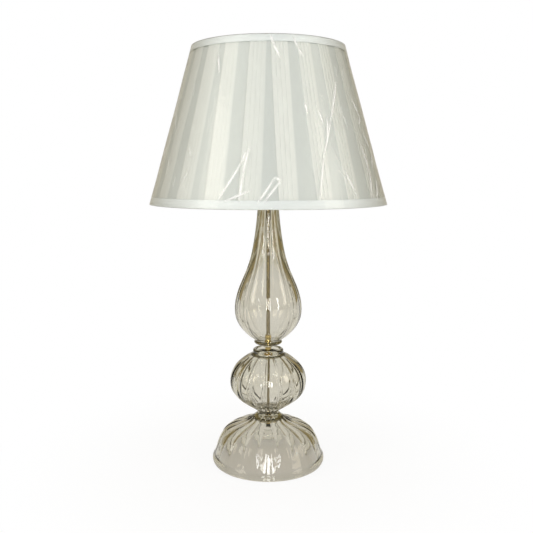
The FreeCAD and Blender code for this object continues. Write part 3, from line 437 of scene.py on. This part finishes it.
@dataclass
class RibbedVessel:
    """One blown piece: a ribbed outer wall, an inner wall and the ends that seat it.

    Sizes are in millimetres. An outline station is a height over the foot, a radius
    over the crests of the ribs and the depth of the grooves between them.
    """

    name: str
    foot_z: float
    ribs: int
    crest_deg: float
    outline: list[Station]
    start: list[Point]
    finish: list[Point]
    floor_z: float
    ceiling_z: float
    wall: float = 3.5
    bore_r: float = 3.25
    steps_per_rib: int = 16
    groove_w: float = 0.13
    roundness: float = 0.25
    depth_scale: float = 1.1
    unevenness: float = 0.25
    inner_follow: float = 0.0
    crown: tuple[Point, ...] = ()
    crown_gap: float = 0.8
    crown_clear: float = 6.0
    bowl: float = 0.0
    neck_from: float = 0.0
    neck_full: float = 1.0
    neck_extra: float = 0.0
    lean_rad: float = 0.03
    uneven_pitch: float = 60.0
    lean_pitch: float = 90.0
    open_below: bool = False

    def depth_at(self, z: float) -> float:
        """Return the depth of the grooves at a height, in millimetres."""
        stations = [(self.foot_z + s[0], s[2]) for s in self.outline]
        if z <= stations[0][0] or z >= stations[-1][0]:
            return 0.0
        for (low, a), (high, b) in zip(stations, stations[1:]):
            if low <= z <= high:
                return a + (b - a) * (z - low) / (high - low)
        return 0.0

    def thickening(self, z: float) -> float:
        """Return how much glass the neck has over the plain wall at a height, in millimetres."""
        share = min(max((z - self.neck_from) / (self.neck_full - self.neck_from), 0.0), 1.0)
        return self.neck_extra * share * share * (3 - 2 * share)

    def inner_wall(self) -> list[Point]:
        """Return the inner wall from the top down, one wall thickness under the grooves."""
        points: list[Point] = []
        last = len(self.outline) - 1
        for i, (z, r, depth) in enumerate(self.outline):
            z0, r0, _ = self.outline[max(i - 1, 0)]
            z1, r1, _ = self.outline[min(i + 1, last)]
            slope = math.hypot(r1 - r0, z1 - z0)
            out_r, out_z = (z1 - z0) / slope, (r0 - r1) / slope
            step = self.wall + self.thickening(z) + depth * abs(out_r)
            points.append((r - step * out_r, self.foot_z + z - step * out_z))
        least_r = self.crown[0][0] + self.crown_gap if self.crown else 0.0
        line = [p for p in smooth_line(points, 4)
                if self.floor_z <= p[1] <= self.ceiling_z and p[0] >= least_r]
        return line[::-1]

    def profile(self) -> list[Point]:
        """Return the closed outline of the glass in the turning plane."""
        outer = smooth_line([(r, self.foot_z + z) for z, r, _ in self.outline], 6)
        inner = self.inner_wall()
        line = self.start + outer + self.finish
        if self.crown:
            line += smooth_line(list(self.crown), 4)[::-1]
        line += inner
        if not self.open_below:
            shares = [5 / 6, 4 / 6, 3 / 6, 2 / 6]
            line += [(inner[-1][0] * share, self.floor_z - self.bowl * (1 - share ** 2)) for share in shares]
            line.append((self.bore_r, self.floor_z - self.bowl))
        return line

    def groove(self, angle: float) -> float:
        """Return how deep in a groove an angle lies, from 0 on a crest to 1."""
        turns = self.ribs * (angle - math.radians(self.crest_deg)) / (2 * math.pi)
        away = abs(turns % 1.0 - 0.5)
        crease = math.exp(-(away / self.groove_w) ** 2)
        wave = (1 + math.cos(2 * math.pi * away)) / 2
        return (1 - self.roundness) * crease + self.roundness * wave

    def build(self, material: bpy.types.Material) -> bpy.types.Object:
        """Turn the profile, press the ribs into its outer wall and dress it.

        Args:
            material: The glass.

        Returns:
            The finished piece.
        """
        mesh = turn_profile(self.profile(), self.ribs * self.steps_per_rib)
        outer = smooth_line([(self.foot_z + z, r) for z, r, _ in self.outline], 6)
        levels: dict[int, tuple[float, float]] = {}
        for vert in mesh.verts:
            radius = math.hypot(vert.co.x, vert.co.y) / MM
            z = vert.co.z / MM
            level = round(z * 100)
            if level not in levels:
                levels[level] = (self.depth_at(z), min(outer, key=lambda p: abs(p[0] - z))[1])
            depth, nearest = levels[level]
            if depth <= 0:
                continue
            follow = 1.0 if abs(radius - nearest) < self.wall * 0.5 else self.inner_follow
            if radius < self.bore_r * 2 or (follow < 1 and z > self.ceiling_z - self.crown_clear):
                continue
            angle = math.atan2(vert.co.y, vert.co.x)
            wobble = self.unevenness * noise_round(angle, 2, z / self.uneven_pitch)
            lean = self.lean_rad * noise_round(angle, 3, z / self.lean_pitch + 7)
            shrink = follow * depth * self.depth_scale * self.groove(angle + lean) * (1 + wobble)
            scale = (radius - shrink) / radius
            vert.co.x *= scale
            vert.co.y *= scale
        node = self.name.replace("_blown", "")
        return finish_piece(mesh, self.name, material, Body.LAMP, (node,))


def base_dome() -> RibbedVessel:
    """Return the ribbed dome that the lamp stands on, with its folded rim and lipped dish."""
    bore = 3.25
    outline = [(14.5, 97.0, 0.1), (25.0, 93.4, 0.7), (37.0, 89.6, 1.5), (48.0, 84.6, 2.3), (56.0, 78.0, 2.9),
               (62.5, 68.5, 3.4), (67.5, 57.5, 4.0), (72.0, 45.0, 4.0), (76.5, 34.5, 2.8), (82.5, 26.5, 1.2)]
    rim = [(93.0, 1.5), (93.3, 0.5), (94.5, 0.05), (96.6, 0.05)]
    rim += smooth_line([(97.6, 0.4), (99.4, 3.4), (100.2, 7.2), (99.5, 10.6), (97.9, 12.9)], 5)
    lip = arc_line((18.5, 84.0), 4.0, 20, 180, 14)
    dish = [(14.5, 80.0), (14.4, 77.0), (13.6, 76.2), (12.0, 76.0), (8.0, 76.0), (bore, 76.0)]
    crown = ((24.0, 77.7), (21.0, 77.2), (18.6, 75.4), (16.6, 73.4), (14.0, 72.5), (9.0, 72.4), (bore, 72.4))
    return RibbedVessel("base_glass_blown", foot_z=0.0, ribs=20, crest_deg=-90.0, outline=outline, start=rim,
                        finish=lip + dish, floor_z=1.0, ceiling_z=79.0, open_below=True, bore_r=bore,
                        steps_per_rib=24, crown=crown)


def ball() -> RibbedVessel:
    """Return the deeply ribbed ball with its open rounded collar."""
    foot, bore = 89.0, 3.25
    outline = [(0.8, 16.3, 0.3), (3.5, 19.2, 0.8), (8.5, 26.2, 1.6), (15.0, 35.8, 2.2), (23.0, 47.5, 2.4),
               (32.0, 57.6, 2.3), (43.0, 64.8, 2.2), (55.0, 67.7, 2.2), (67.0, 67.0, 2.2), (78.0, 63.4, 2.2),
               (88.0, 56.8, 2.3), (97.0, 47.0, 2.4), (103.5, 38.0, 2.0), (107.5, 30.5, 0.9)]
    seat = [(bore, foot), (9.0, foot), (14.6, foot), (15.8, foot + 0.2)]
    collar = [(27.6, foot + 108.8), (26.9, foot + 110.5)]
    collar += arc_line((23.5, foot + 113.5), 3.5, 0, 180, 14)
    collar += [(20.0, foot + 108.0), (19.7, foot + 104.0), (18.6, foot + 102.8), (16.0, foot + 102.5),
               (9.0, foot + 102.5), (bore, foot + 102.5)]
    crown = ((26.6, foot + 103.9), (23.4, foot + 102.6), (20.6, foot + 100.4), (17.6, foot + 99.2),
             (12.0, foot + 99.0), (bore, foot + 99.0))
    return RibbedVessel("ball_glass_blown", foot_z=foot, ribs=16, crest_deg=-107.25, outline=outline,
                        start=seat, finish=collar, floor_z=foot + 8.5, ceiling_z=foot + 105.0, bore_r=bore,
                        steps_per_rib=26, groove_w=0.12, roundness=0.10, inner_follow=0.5, bowl=3.5,
                        crown=crown)


def teardrop() -> RibbedVessel:
    """Return the fluted teardrop with its pinched foot ring and long neck."""
    foot, bore = 211.0, 5.25
    outline = [(10.6, 23.0, 0.2), (14.0, 27.3, 0.7), (20.0, 35.6, 1.1), (29.0, 44.8, 1.4), (39.0, 51.9, 1.5),
               (52.0, 57.3, 1.6), (68.0, 59.0, 1.6), (84.0, 57.2, 1.6), (102.0, 52.2, 1.5),
               (120.0, 44.9, 1.3), (140.0, 36.5, 1.1), (162.0, 29.8, 0.9), (187.0, 24.9, 0.7),
               (215.0, 21.0, 0.4), (240.0, 18.6, 0.2), (252.0, 18.0, 0.0)]
    seat = [(bore, foot), (9.4, foot), (12.0, foot + 0.9), (17.0, foot + 2.7), (21.8, foot + 4.2)]
    seat += smooth_line([(23.2, foot + 4.9), (24.5, foot + 6.6), (24.4, foot + 8.4), (23.0, foot + 9.8)], 4)
    mouth = [(17.9, foot + 253.0), (10.4, foot + 253.0)]
    return RibbedVessel("teardrop_glass_blown", foot_z=foot, ribs=12, crest_deg=-90.0, outline=outline,
                        start=seat, finish=mouth, floor_z=foot + 8.0, ceiling_z=foot + 252.0, bore_r=bore,
                        steps_per_rib=32, groove_w=0.14, roundness=0.4, inner_follow=0.8, bowl=3.0,
                        neck_from=110.0, neck_full=195.0, neck_extra=4.4)


PLEAT_SHARES = (0.0, 0.04, 0.10, 0.45, 0.80, 0.985)   # where a pleat's columns lie across it
PLEAT_LIFTS = (0.25, 0.92, 1.0, 0.80, 0.58, 0.36)     # how high each stands, as a share of the rise

# Folds of the film over the front: degrees right of the front and height in millimetres.
FILM_FOLDS: list[list[Point]] = [
    [(-21.6, 478), (-12.3, 532), (-10.8, 546)],
    [(-12.5, 476), (-11.5, 512), (-9.5, 552)],
    [(-4.6, 472), (2.8, 509), (5.5, 505), (-1.9, 474)],
    [(-19.0, 474), (-8.0, 490)],
    [(1.5, 719), (2.9, 708), (7.2, 686)],
    [(16.6, 717), (19.0, 702), (22.0, 690)],
    [(-34.0, 694), (-31.0, 666)],
    [(45.0, 655), (35.0, 596), (27.0, 540), (22.4, 478)],
    [(20.0, 619), (20.6, 604)],
    [(27.5, 609), (29.5, 588)],
    [(33.0, 600), (30.0, 560)],
    [(58.0, 632), (64.0, 604), (60.0, 590)],
    [(62.0, 580), (70.0, 548), (64.0, 522)],
    [(56.0, 560), (59.0, 515), (55.0, 480)],
    [(66.0, 505), (60.0, 474)],
    [(38.0, 520), (43.0, 482)],
]


@dataclass
class Shade:
    """Pleated empire shade: cloth over a card cone, taped edges and a loose clear wrap."""

    top_r: float = 129.0
    bottom_r: float = 203.0
    top_z: float = 722.4
    bottom_z: float = 462.3
    cloth_in: float = 1.5
    rise: float = 1.5
    bands: int = 22
    pleats: int = 4
    gap_columns: int = 8
    rows: int = 30
    share_bottom: float = 0.50
    share_top: float = 0.62
    gap_edge_lift: float = 0.10
    cloth_ripple: float = 0.25
    cloth_gather: float = 1.04
    trim_t: float = 0.8
    trim_in: float = 0.5
    top_trim_h: float = 11.0
    bottom_trim_h: float = 13.0
    trim_back_in: float = 8.2
    trim_back_h: float = 5.0
    film_columns: int = 620
    film_rows: int = 150
    film_bunch: float = 0.5
    slack: float = 1.2
    fold_h: float = 1.1
    fold_w: float = 2.6
    small_folds: int = 70
    billow_turns: float = 3.2
    billow_pitch: float = 70.0
    tuck_low: float = 14.0
    tuck_high: float = 9.0
    rng: random.Random = field(default_factory=lambda: random.Random(SEED))

    def radius(self, z: float) -> float:
        """Return the shade's outer radius at a height, in millimetres."""
        share = (z - self.bottom_z) / (self.top_z - self.bottom_z)
        return self.bottom_r + (self.top_r - self.bottom_r) * share

    def pleat_columns(self) -> list[Column]:
        """Return the cloth's columns.

        Returns:
            For each column its angle at the bottom and at the top, its height over
            the flat cloth as a share of the rise, and how layered the cloth is, lowered
            at the first column of each pleat, its fold, as painted shade.
        """
        columns: list[Column] = []
        pitch = 2 * math.pi / self.bands
        for band in range(self.bands):
            low_share = self.share_bottom * self.rng.uniform(0.86, 1.14)
            high_share = self.share_top * self.rng.uniform(0.90, 1.12)
            low_mid = pitch * (band + self.rng.uniform(-0.06, 0.06))
            high_mid = pitch * (band + self.rng.uniform(-0.10, 0.10))
            tone = self.rng.uniform(0.65, 1.0)
            for pleat in range(self.pleats):
                for step, (inside, lift) in enumerate(zip(PLEAT_SHARES, PLEAT_LIFTS)):
                    share = (pleat + inside) / self.pleats - 0.5
                    # Painted shade: the first column of each pleat, its fold, gets a quarter of the band's
                    # layering, so the cloth darkens along the fold.
                    columns.append((low_mid + pitch * low_share * share,
                                    high_mid + pitch * high_share * share,
                                    lift, tone * (0.25 if step == 0 else 1.0)))
            for step in range(self.gap_columns):
                columns.append((low_mid, high_mid, -1.0, (step + 1) / (self.gap_columns + 1)))
        return self.fill_gaps(columns)

    def fill_gaps(self, columns: list[Column]) -> list[Column]:
        """Spread each gap's columns between the bands on its two sides.

        Args:
            columns: Columns whose gap entries hold a lift of -1 and a share.

        Returns:
            Columns with every angle known.
        """
        count = len(columns)
        filled = list(columns)
        for i, (_, _, lift, share) in enumerate(columns):
            if lift >= 0:
                continue
            before = (columns[(i - k) % count] for k in range(1, count))
            after = (columns[(i + k) % count] for k in range(1, count))
            left = next(column for column in before if column[2] >= 0)
            right = next(column for column in after if column[2] >= 0)
            angles = []
            for side in (0, 1):
                start, end = left[side], right[side]
                if end < start:
                    end += 2 * math.pi
                angles.append(start + (end - start) * share)
            edge = min(share, 1 - share)
            filled[i] = (angles[0], angles[1], self.gap_edge_lift * math.exp(-edge * 12), 0.0)
        return filled

    def build_cloth(self, material: bpy.types.Material) -> bpy.types.Object:
        """Make the pleated cloth from an open cone whose columns are moved to their folds.

        Args:
            material: The cloth.

        Returns:
            The finished piece.
        """
        columns = self.pleat_columns()
        low_z, high_z = self.bottom_z + 1.6, self.top_z - 1.6
        mesh = bmesh.new()
        layers = mesh.verts.layers.float.new("layers")
        bmesh.ops.create_circle(mesh, segments=len(columns), radius=1.0)
        rings = [list(mesh.verts)]
        edges = list(mesh.edges)
        for _ in range(self.rows):
            made = bmesh.ops.extrude_edge_only(mesh, edges=edges)["geom"]
            edges = [e for e in made if isinstance(e, bmesh.types.BMEdge) and len(e.link_faces) == 1]
            rings.append([v for v in made if isinstance(v, bmesh.types.BMVert)])
        self.place_rings(rings, columns, layers, low_z, high_z)
        self.unwrap(mesh)
        bmesh.ops.recalc_face_normals(mesh, faces=mesh.faces)
        piece = finish_piece(mesh, "shade_cloth", material, Body.SHADE, ("shade_fabric",))
        return piece

    def place_rings(self, rings: list[list[bmesh.types.BMVert]], columns: list[Column],
                    layers: bmesh.types.BMLayerItem, low_z: float, high_z: float) -> None:
        """Move each ring of the cloth to its height and its folds.

        Args:
            rings: Vertices of each ring, bottom first.
            columns: Columns from pleat_columns.
            layers: Vertex layer that takes the cloth's layering and the painted shade along its pleat folds.
            low_z: Height of the first ring in millimetres.
            high_z: Height of the last ring in millimetres.
        """
        pitch = 2 * math.pi / len(columns)
        for row, ring in enumerate(rings):
            up = row / self.rows
            z = low_z + (high_z - low_z) * up
            for vert in ring:
                key = round(math.atan2(vert.co.y, vert.co.x) / pitch) % len(columns)
                low, high, lift, layered = columns[key]
                angle = low + (high - low) * up
                ripple = noise_round(angle, 9, z / 45)
                radius = self.radius(z) - self.cloth_in - self.rise * (1 - lift)
                radius += self.cloth_ripple * ripple * (1 - layered)
                vert[layers] = layered
                vert.co = Vector((radius * math.cos(angle) * MM, radius * math.sin(angle) * MM, z * MM))

    def unwrap(self, mesh: bmesh.types.BMesh) -> None:
        """Give the cloth a UV map in metres: round the shade and up its slope.

        Args:
            mesh: The cloth.
        """
        uv = mesh.loops.layers.uv.new("cloth")
        for face in mesh.faces:
            middle = face.calc_center_median()
            base = math.atan2(middle.y, middle.x)
            for loop in face.loops:
                co = loop.vert.co
                angle = math.atan2(co.y, co.x)
                while angle - base > math.pi:
                    angle -= 2 * math.pi
                while base - angle > math.pi:
                    angle += 2 * math.pi
                loop[uv].uv = (angle * math.hypot(co.x, co.y), co.z)

    def build_tape(self, name: str, node: str, edge_z: float, height: float, up: int,
                   material: bpy.types.Material) -> bpy.types.Object:
        """Make the tape folded over one edge of the shade.

        Args:
            name: Name of the piece.
            node: CAD node that it stands for.
            edge_z: Height of the folded edge in millimetres.
            height: Height of the outer leg.
            up: 1 if the tape runs up from the edge, -1 if down.
            material: The tape.

        Returns:
            The finished piece.
        """
        outer_end = edge_z + up * height
        outer = self.radius(edge_z) - self.trim_in
        outer_far = self.radius(outer_end) - self.trim_in
        back = self.radius(edge_z) - self.trim_back_in
        back_end = edge_z + up * self.trim_back_h
        t = self.trim_t
        profile = [
            (outer_far - t, outer_end), (outer_far - 0.15, outer_end), (outer_far, outer_end - up * 0.3),
            (outer, edge_z + up * 0.5), (outer - 0.35, edge_z), (back - t + 0.3, edge_z),
            (back - t, edge_z + up * 0.4), (back - t, back_end), (back, back_end),
            (back, edge_z + up * t), (outer - t, edge_z + up * t),
        ]
        mesh = turn_profile(profile, 240)
        for vert in mesh.verts:
            angle = math.atan2(vert.co.y, vert.co.x)
            wave = noise_round(angle, 14, vert.co.z * 60)
            vert.co.z += 0.25 * MM * wave * (abs(vert.co.z / MM - edge_z) > 2)
        piece = finish_piece(mesh, name, material, Body.SHADE, (node,))
        return piece

    def billow(self, angle: float, z: float) -> float:
        """Return how far the film hangs back from its outermost place, as a share of its slack."""
        wander = noise_round(angle, self.billow_turns, z / self.billow_pitch)
        return min(max(0.5 - 0.5 * wander, 0), 1)

    def folds(self) -> list[Fold]:
        """Return the film's folds, the ones at the front first and then a scatter round it.

        Returns:
            For each straight fold the angle in degrees right of the front and the
            height in millimetres of both its ends, and how sharp it is from 0 to 1.
        """
        lines: list[Fold] = []
        for path in FILM_FOLDS:
            lines += [(*a, *b, 0.85) for a, b in zip(path, path[1:])]
        for _ in range(self.small_folds):
            angle = self.rng.uniform(35, 325)
            z = self.rng.triangular(self.bottom_z + 12, self.top_z - 20, self.bottom_z + 25)
            length = self.rng.uniform(12, 48)
            lean = self.rng.uniform(-0.25, 0.25)
            lines.append((angle, z, angle + lean * length, min(z + length, self.top_z - 12),
                          self.rng.uniform(0.15, 0.5)))
        return lines

    def press_folds(self, mesh: bmesh.types.BMesh) -> None:
        """Mark the film's folds with a share that raises the film there and sets its painted highlight.

        Args:
            mesh: The film's mesh, in metres.
        """
        layer = mesh.verts.layers.float["fold"]
        rows: dict[int, list[bmesh.types.BMVert]] = {}
        for vert in mesh.verts:
            rows.setdefault(round(vert.co.z / MM), []).append(vert)
        reach = math.ceil(self.fold_w)
        for start_deg, start_z, end_deg, end_z, sharp in self.folds():
            middle_r = self.radius((start_z + end_z) / 2)
            degree = math.radians(middle_r)
            run, rise = (end_deg - start_deg) * degree, end_z - start_z
            length = max(math.hypot(run, rise), 1e-6)
            low, high = sorted((start_z, end_z))
            for level in range(round(low - reach), round(high + reach) + 1):
                for vert in rows.get(level, ()):
                    turn = math.degrees(math.atan2(vert.co.y, vert.co.x)) + 90 - start_deg
                    u = ((turn + 180) % 360 - 180) * degree
                    v = vert.co.z / MM - start_z
                    along = min(max((u * run + v * rise) / length ** 2, 0), 1)
                    away = math.hypot(u - run * along, v - rise * along)
                    if away >= self.fold_w:
                        continue
                    lift = sharp * (1 - away / self.fold_w) * math.sin(math.pi * (0.1 + 0.8 * along))
                    vert[layer] = max(vert[layer], lift)

    def build_film(self, material: bpy.types.Material) -> bpy.types.Object:
        """Make the clear wrap: snug at both rims, billowed and folded between, tucked in at the edges.

        Args:
            material: The film.

        Returns:
            The finished piece.
        """
        low_r, high_r = self.bottom_r, self.top_r
        rise = [(self.radius(z) - 0.1, z) for z in
                (self.bottom_z + (self.top_z - self.bottom_z) * i / self.film_rows
                 for i in range(self.film_rows + 1))]
        profile = [(low_r - self.tuck_low, self.bottom_z + 0.4),
                   (low_r - self.tuck_low / 2, self.bottom_z + 0.1)] + rise
        profile += [(high_r - 5.0, self.top_z - 0.1), (high_r - self.tuck_high, self.top_z - 0.4)]
        mesh = turn_profile(profile, self.film_columns, closed=False)
        layer = mesh.verts.layers.float.new("fold")
        for vert in mesh.verts:
            angle = math.atan2(vert.co.y, vert.co.x)
            radius = math.hypot(vert.co.x, vert.co.y)
            closer = angle - self.film_bunch * math.sin(angle + math.pi / 2)
            vert.co.x, vert.co.y = radius * math.cos(closer), radius * math.sin(closer)
        self.press_folds(mesh)
        for vert in mesh.verts:
            z = vert.co.z / MM
            if z < self.bottom_z + 1 or z > self.top_z - 1:
                continue
            share = (z - self.bottom_z) / (self.top_z - self.bottom_z)
            slack = min(1.0, 8 * share, 8 * (1 - share))
            radius = math.hypot(vert.co.x, vert.co.y)
            drop = self.slack * slack * self.billow(math.atan2(vert.co.y, vert.co.x), z)
            drop -= self.fold_h * slack * vert[layer]
            vert.co.x *= (radius - drop * MM) / radius
            vert.co.y *= (radius - drop * MM) / radius
        piece = finish_piece(mesh, "shade_wrap", material, Body.SHADE, ("shade_film",))
        return piece

    def build(self, cloth: bpy.types.Material, tape: bpy.types.Material, film: bpy.types.Material) -> None:
        """Make the cloth, both tapes and the wrap.

        Args:
            cloth: Finish of the cloth.
            tape: Finish of the tapes.
            film: Finish of the wrap.
        """
        self.build_cloth(cloth)
        self.build_tape("shade_top_tape", "shade_top_trim", self.top_z - 0.5, self.top_trim_h, -1, tape)
        self.build_tape("shade_bottom_tape", "shade_bottom_trim", self.bottom_z + 0.5, self.bottom_trim_h, 1,
                        tape)
        self.build_film(film)


@dataclass
class Studio:
    """Pale floor, soft lights and the camera of the photograph."""

    camera_at: tuple[float, float, float] = (-0.003, -1.2109, 0.5197)
    pitch_deg: float = 7.87
    focal_px: float = 698.5
    image_px: float = 533.0
    sensor_mm: float = 36.0
    floor_half: float = 6.0
    light_colour: str = "#D4D3D0"
    dim_colour: str = "#9C8D66"
    front_level: float = 0.25
    upper_level: float = 0.5
    shadow_reach: tuple[float, float] = (0.12, 0.5)
    shadow_level: float = 0.9
    seen_floor_glow: float = 0.28

    def build(self) -> None:
        """Make the camera, world, floor and lights."""
        self.build_camera()
        self.build_world()
        self.build_floor()
        for name, x in (("left", -0.42), ("middle", 0.03), ("right", 0.50)):
            self.build_light(f"front_window_{name}", (x, -2.6, 0.75), (x * 0.5, 0.0, 0.35),
                             (0.24, 1.1), 10.8, "#FFFFFF")
        self.build_light("left_softbox", (-2.0, -1.2, 1.3), (0.0, 0.0, 0.4), (0.9, 1.2), 13.0, "#FFF8EC")
        self.build_light("right_softbox", (2.1, -1.0, 1.2), (0.0, 0.0, 0.4), (0.7, 1.3), 11.0, "#FFF6E8")
        bpy.context.scene.view_settings.view_transform = "Standard"

    def build_camera(self) -> None:
        """Place the camera where the photograph was taken from."""
        data = bpy.data.cameras.new("camera")
        data.sensor_width = self.sensor_mm
        data.lens = self.focal_px * self.sensor_mm / self.image_px
        camera = bpy.data.objects.new("camera", data)
        camera.location = self.camera_at
        camera.rotation_euler = (math.radians(90 - self.pitch_deg), 0, 0)
        bpy.context.scene.collection.objects.link(camera)
        bpy.context.scene.camera = camera

    def seen_rays(self, tree: bpy.types.NodeTree) -> tuple[bpy.types.NodeSocket, bpy.types.NodeSocket]:
        """Tell the rays that show the surround from those that light the lamp.

        Args:
            tree: Node tree that reads the rays.

        Returns:
            Two values: 1 for camera rays, and 1 for mirror and see-through rays.
        """
        path = add_node(tree, "ShaderNodeLightPath")
        both = add_node(tree, "ShaderNodeMath", {"operation": "MAXIMUM"},
                        links={0: path.outputs["Is Glossy Ray"], 1: path.outputs["Is Transmission Ray"]})
        return path.outputs["Is Camera Ray"], both.outputs[0]

    def build_world(self) -> None:
        """Make a white surround that falls off to the sides and front where glass and metal show it."""
        world = bpy.data.worlds.new("surround")
        bpy.context.scene.world = world
        world.use_nodes = True
        tree = world.node_tree
        tree.nodes.clear()
        out = add_node(tree, "ShaderNodeOutputWorld")
        camera, shown = self.seen_rays(tree)
        coords = add_node(tree, "ShaderNodeTexCoord")
        axes = add_node(tree, "ShaderNodeSeparateXYZ", links={0: coords.outputs["Generated"]})
        side = add_node(tree, "ShaderNodeMath", {"operation": "ABSOLUTE"}, links={0: axes.outputs["X"]})
        beside = add_node(tree, "ShaderNodeMapRange", {"interpolation_type": "SMOOTHSTEP"},
                          {"From Min": 0.1, "From Max": 0.6, "To Min": 1.0, "To Max": 0.0},
                          {"Value": side.outputs[0]})
        ahead = add_node(tree, "ShaderNodeMapRange", {"interpolation_type": "SMOOTHSTEP"},
                         {"From Min": -0.5, "From Max": 0.3, "To Min": self.front_level, "To Max": 1.0},
                         {"Value": axes.outputs["Y"]})
        above = add_node(tree, "ShaderNodeMapRange", {"interpolation_type": "SMOOTHSTEP"},
                         {"From Min": -0.3, "From Max": 0.1, "To Min": 1.0, "To Max": self.upper_level},
                         {"Value": axes.outputs["Z"]})
        flags = add_node(tree, "ShaderNodeMath", {"operation": "MULTIPLY"},
                         links={0: beside.outputs["Result"], 1: above.outputs["Result"]})
        room = add_node(tree, "ShaderNodeMath", {"operation": "MULTIPLY"},
                        links={0: flags.outputs[0], 1: ahead.outputs["Result"]})
        walls = add_node(tree, "ShaderNodeMix", {"data_type": "RGBA"},
                         {6: srgb(self.dim_colour), 7: (1, 1, 1, 1)}, {0: room.outputs[0]})
        light = add_node(tree, "ShaderNodeMix", {"data_type": "RGBA"},
                         {6: srgb(self.light_colour)}, {0: shown, 7: walls.outputs[2]})
        tone = add_node(tree, "ShaderNodeMix", {"data_type": "RGBA"}, {7: (1, 1, 1, 1)},
                        {0: camera, 6: light.outputs[2]})
        back = add_node(tree, "ShaderNodeBackground", inputs={"Strength": 1.0},
                        links={"Color": tone.outputs[2]})
        tree.links.new(back.outputs["Background"], out.inputs["Surface"])

    def build_floor(self) -> None:
        """Make a pale floor: white where the camera sees it, but for a faint shadow by the lamp."""
        material, tree, out = new_material("pale_studio_floor")
        matt = add_node(tree, "ShaderNodeBsdfDiffuse", inputs={"Color": srgb("#F2EFE9")})
        white = add_node(tree, "ShaderNodeEmission", inputs={"Color": (1, 1, 1, 1), "Strength": 1.0})
        camera, shown = self.seen_rays(tree)
        place = add_node(tree, "ShaderNodeNewGeometry")
        reach = add_node(tree, "ShaderNodeVectorMath", {"operation": "LENGTH"},
                         links={0: place.outputs["Position"]})
        clear = add_node(tree, "ShaderNodeMapRange", {"interpolation_type": "SMOOTHSTEP"},
                         {"From Min": self.shadow_reach[0], "From Max": self.shadow_reach[1],
                          "To Min": self.shadow_level, "To Max": 1.0},
                         {"Value": reach.outputs["Value"]})
        direct = add_node(tree, "ShaderNodeMath", {"operation": "MULTIPLY"},
                          links={0: camera, 1: clear.outputs["Result"]})
        through = add_node(tree, "ShaderNodeMath", {"operation": "MULTIPLY_ADD"}, {1: self.seen_floor_glow},
                           {0: shown, 2: direct.outputs[0]})
        blend = add_node(tree, "ShaderNodeMixShader",
                         links={0: through.outputs[0], 1: matt.outputs["BSDF"],
                                2: white.outputs["Emission"]})
        tree.links.new(blend.outputs["Shader"], out.inputs["Surface"])
        mesh = bmesh.new()
        bmesh.ops.create_grid(mesh, x_segments=1, y_segments=1, size=self.floor_half)
        data = bpy.data.meshes.new("floor")
        mesh.to_mesh(data)
        mesh.free()
        data.materials.append(material)
        floor = bpy.data.objects.new("floor", data)
        floor.location.z = -0.0003
        bpy.context.scene.collection.objects.link(floor)

    def build_light(self, name: str, place: tuple[float, float, float], aim: tuple[float, float, float],
                    size: tuple[float, float], watts: float, colour: str) -> None:
        """Hang one soft rectangular light.

        Args:
            name: Name of the light.
            place: Where it hangs, in metres.
            aim: Point that it faces.
            size: Width and height in metres.
            watts: Its power.
            colour: Its sRGB hex colour.
        """
        data = bpy.data.lights.new(name, "AREA")
        data.shape = "RECTANGLE"
        data.size, data.size_y = size
        data.energy = watts
        data.color = srgb(colour)[:3]
        light = bpy.data.objects.new(name, data)
        light.location = place
        light.rotation_euler = (Vector(aim) - Vector(place)).to_track_quat("-Z", "Y").to_euler()
        bpy.context.scene.collection.objects.link(light)


def dress_nodes(frame: dict) -> None:
    """Give every CAD node that stays its own finish.

    Args:
        frame: The loaded frame.
    """
    brass = Metal("polished_brass", "#D8C58C", "#A08A58", 0.14).build()
    plated = Metal("brass_plated_steel", "#C8AE72", "#9F8552", 0.24).build()
    steel = Metal("zinc_plated_steel", "#B9BAB8", "#8F908E", 0.30).build()
    tin = Metal("rolled_aluminium", "#C9CACB", "#A3A4A6", 0.28).build()
    phenolic = Moulded("moulded_phenolic", "#14110F", 0.38).build()
    card = Moulded("waxed_fibre_card", "#B9A988", 0.75).build()
    wire = Moulded("white_powder_coat", "#E9E9E3", 0.45, 0.5).build()
    liner = Moulded("styrene_liner_sheet", "#F1F1EA", 0.55, 3.0, 0.00008, 0.25).build()
    gasket = Moulded("silicone_gasket", "#CFCDBF", 0.5).build()
    opal = Moulded("frosted_bulb_glass", "#F7F7F4", 0.22, 2.0, 0.00002, 0.3).build()
    finishes = {
        "brass": brass, "brass_plated_steel": plated, "steel": steel, "aluminium_cap": tin,
        "black_phenolic": phenolic, "fibre_card": card, "white_wire": wire, "shade_liner_card": liner,
        "clear_gasket": gasket, "frosted_glass": opal,
    }
    tube = Metal("drawn_brass_tube", "#9C8F70", "#766C55", 0.22).build()
    for row in frame["record"]["subparts"]:
        node = frame["nodes"][row["node"]]
        finish = tube if row["node"] == "stem_tube" else finishes.get(row["material_slot"])
        if finish is not None:
            node.data.materials.clear()
            node.data.materials.append(finish)


def main() -> None:
    """Build the lamp in order round the loaded frame."""
    logging.basicConfig(level=logging.INFO, format="%(name)s %(message)s")
    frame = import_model()
    dress_nodes(frame)
    glass = BlownGlass().build()
    for vessel in (base_dome(), ball(), teardrop()):
        vessel.build(glass)
    tape = Moulded("cotton_bias_tape", "#D6DAD8", 0.85, 0.7, 0.0001).build()
    Shade().build(PleatedCotton().build(), tape, ClearFilm().build())
    Studio().build()


if __name__ == "__main__":
    main()
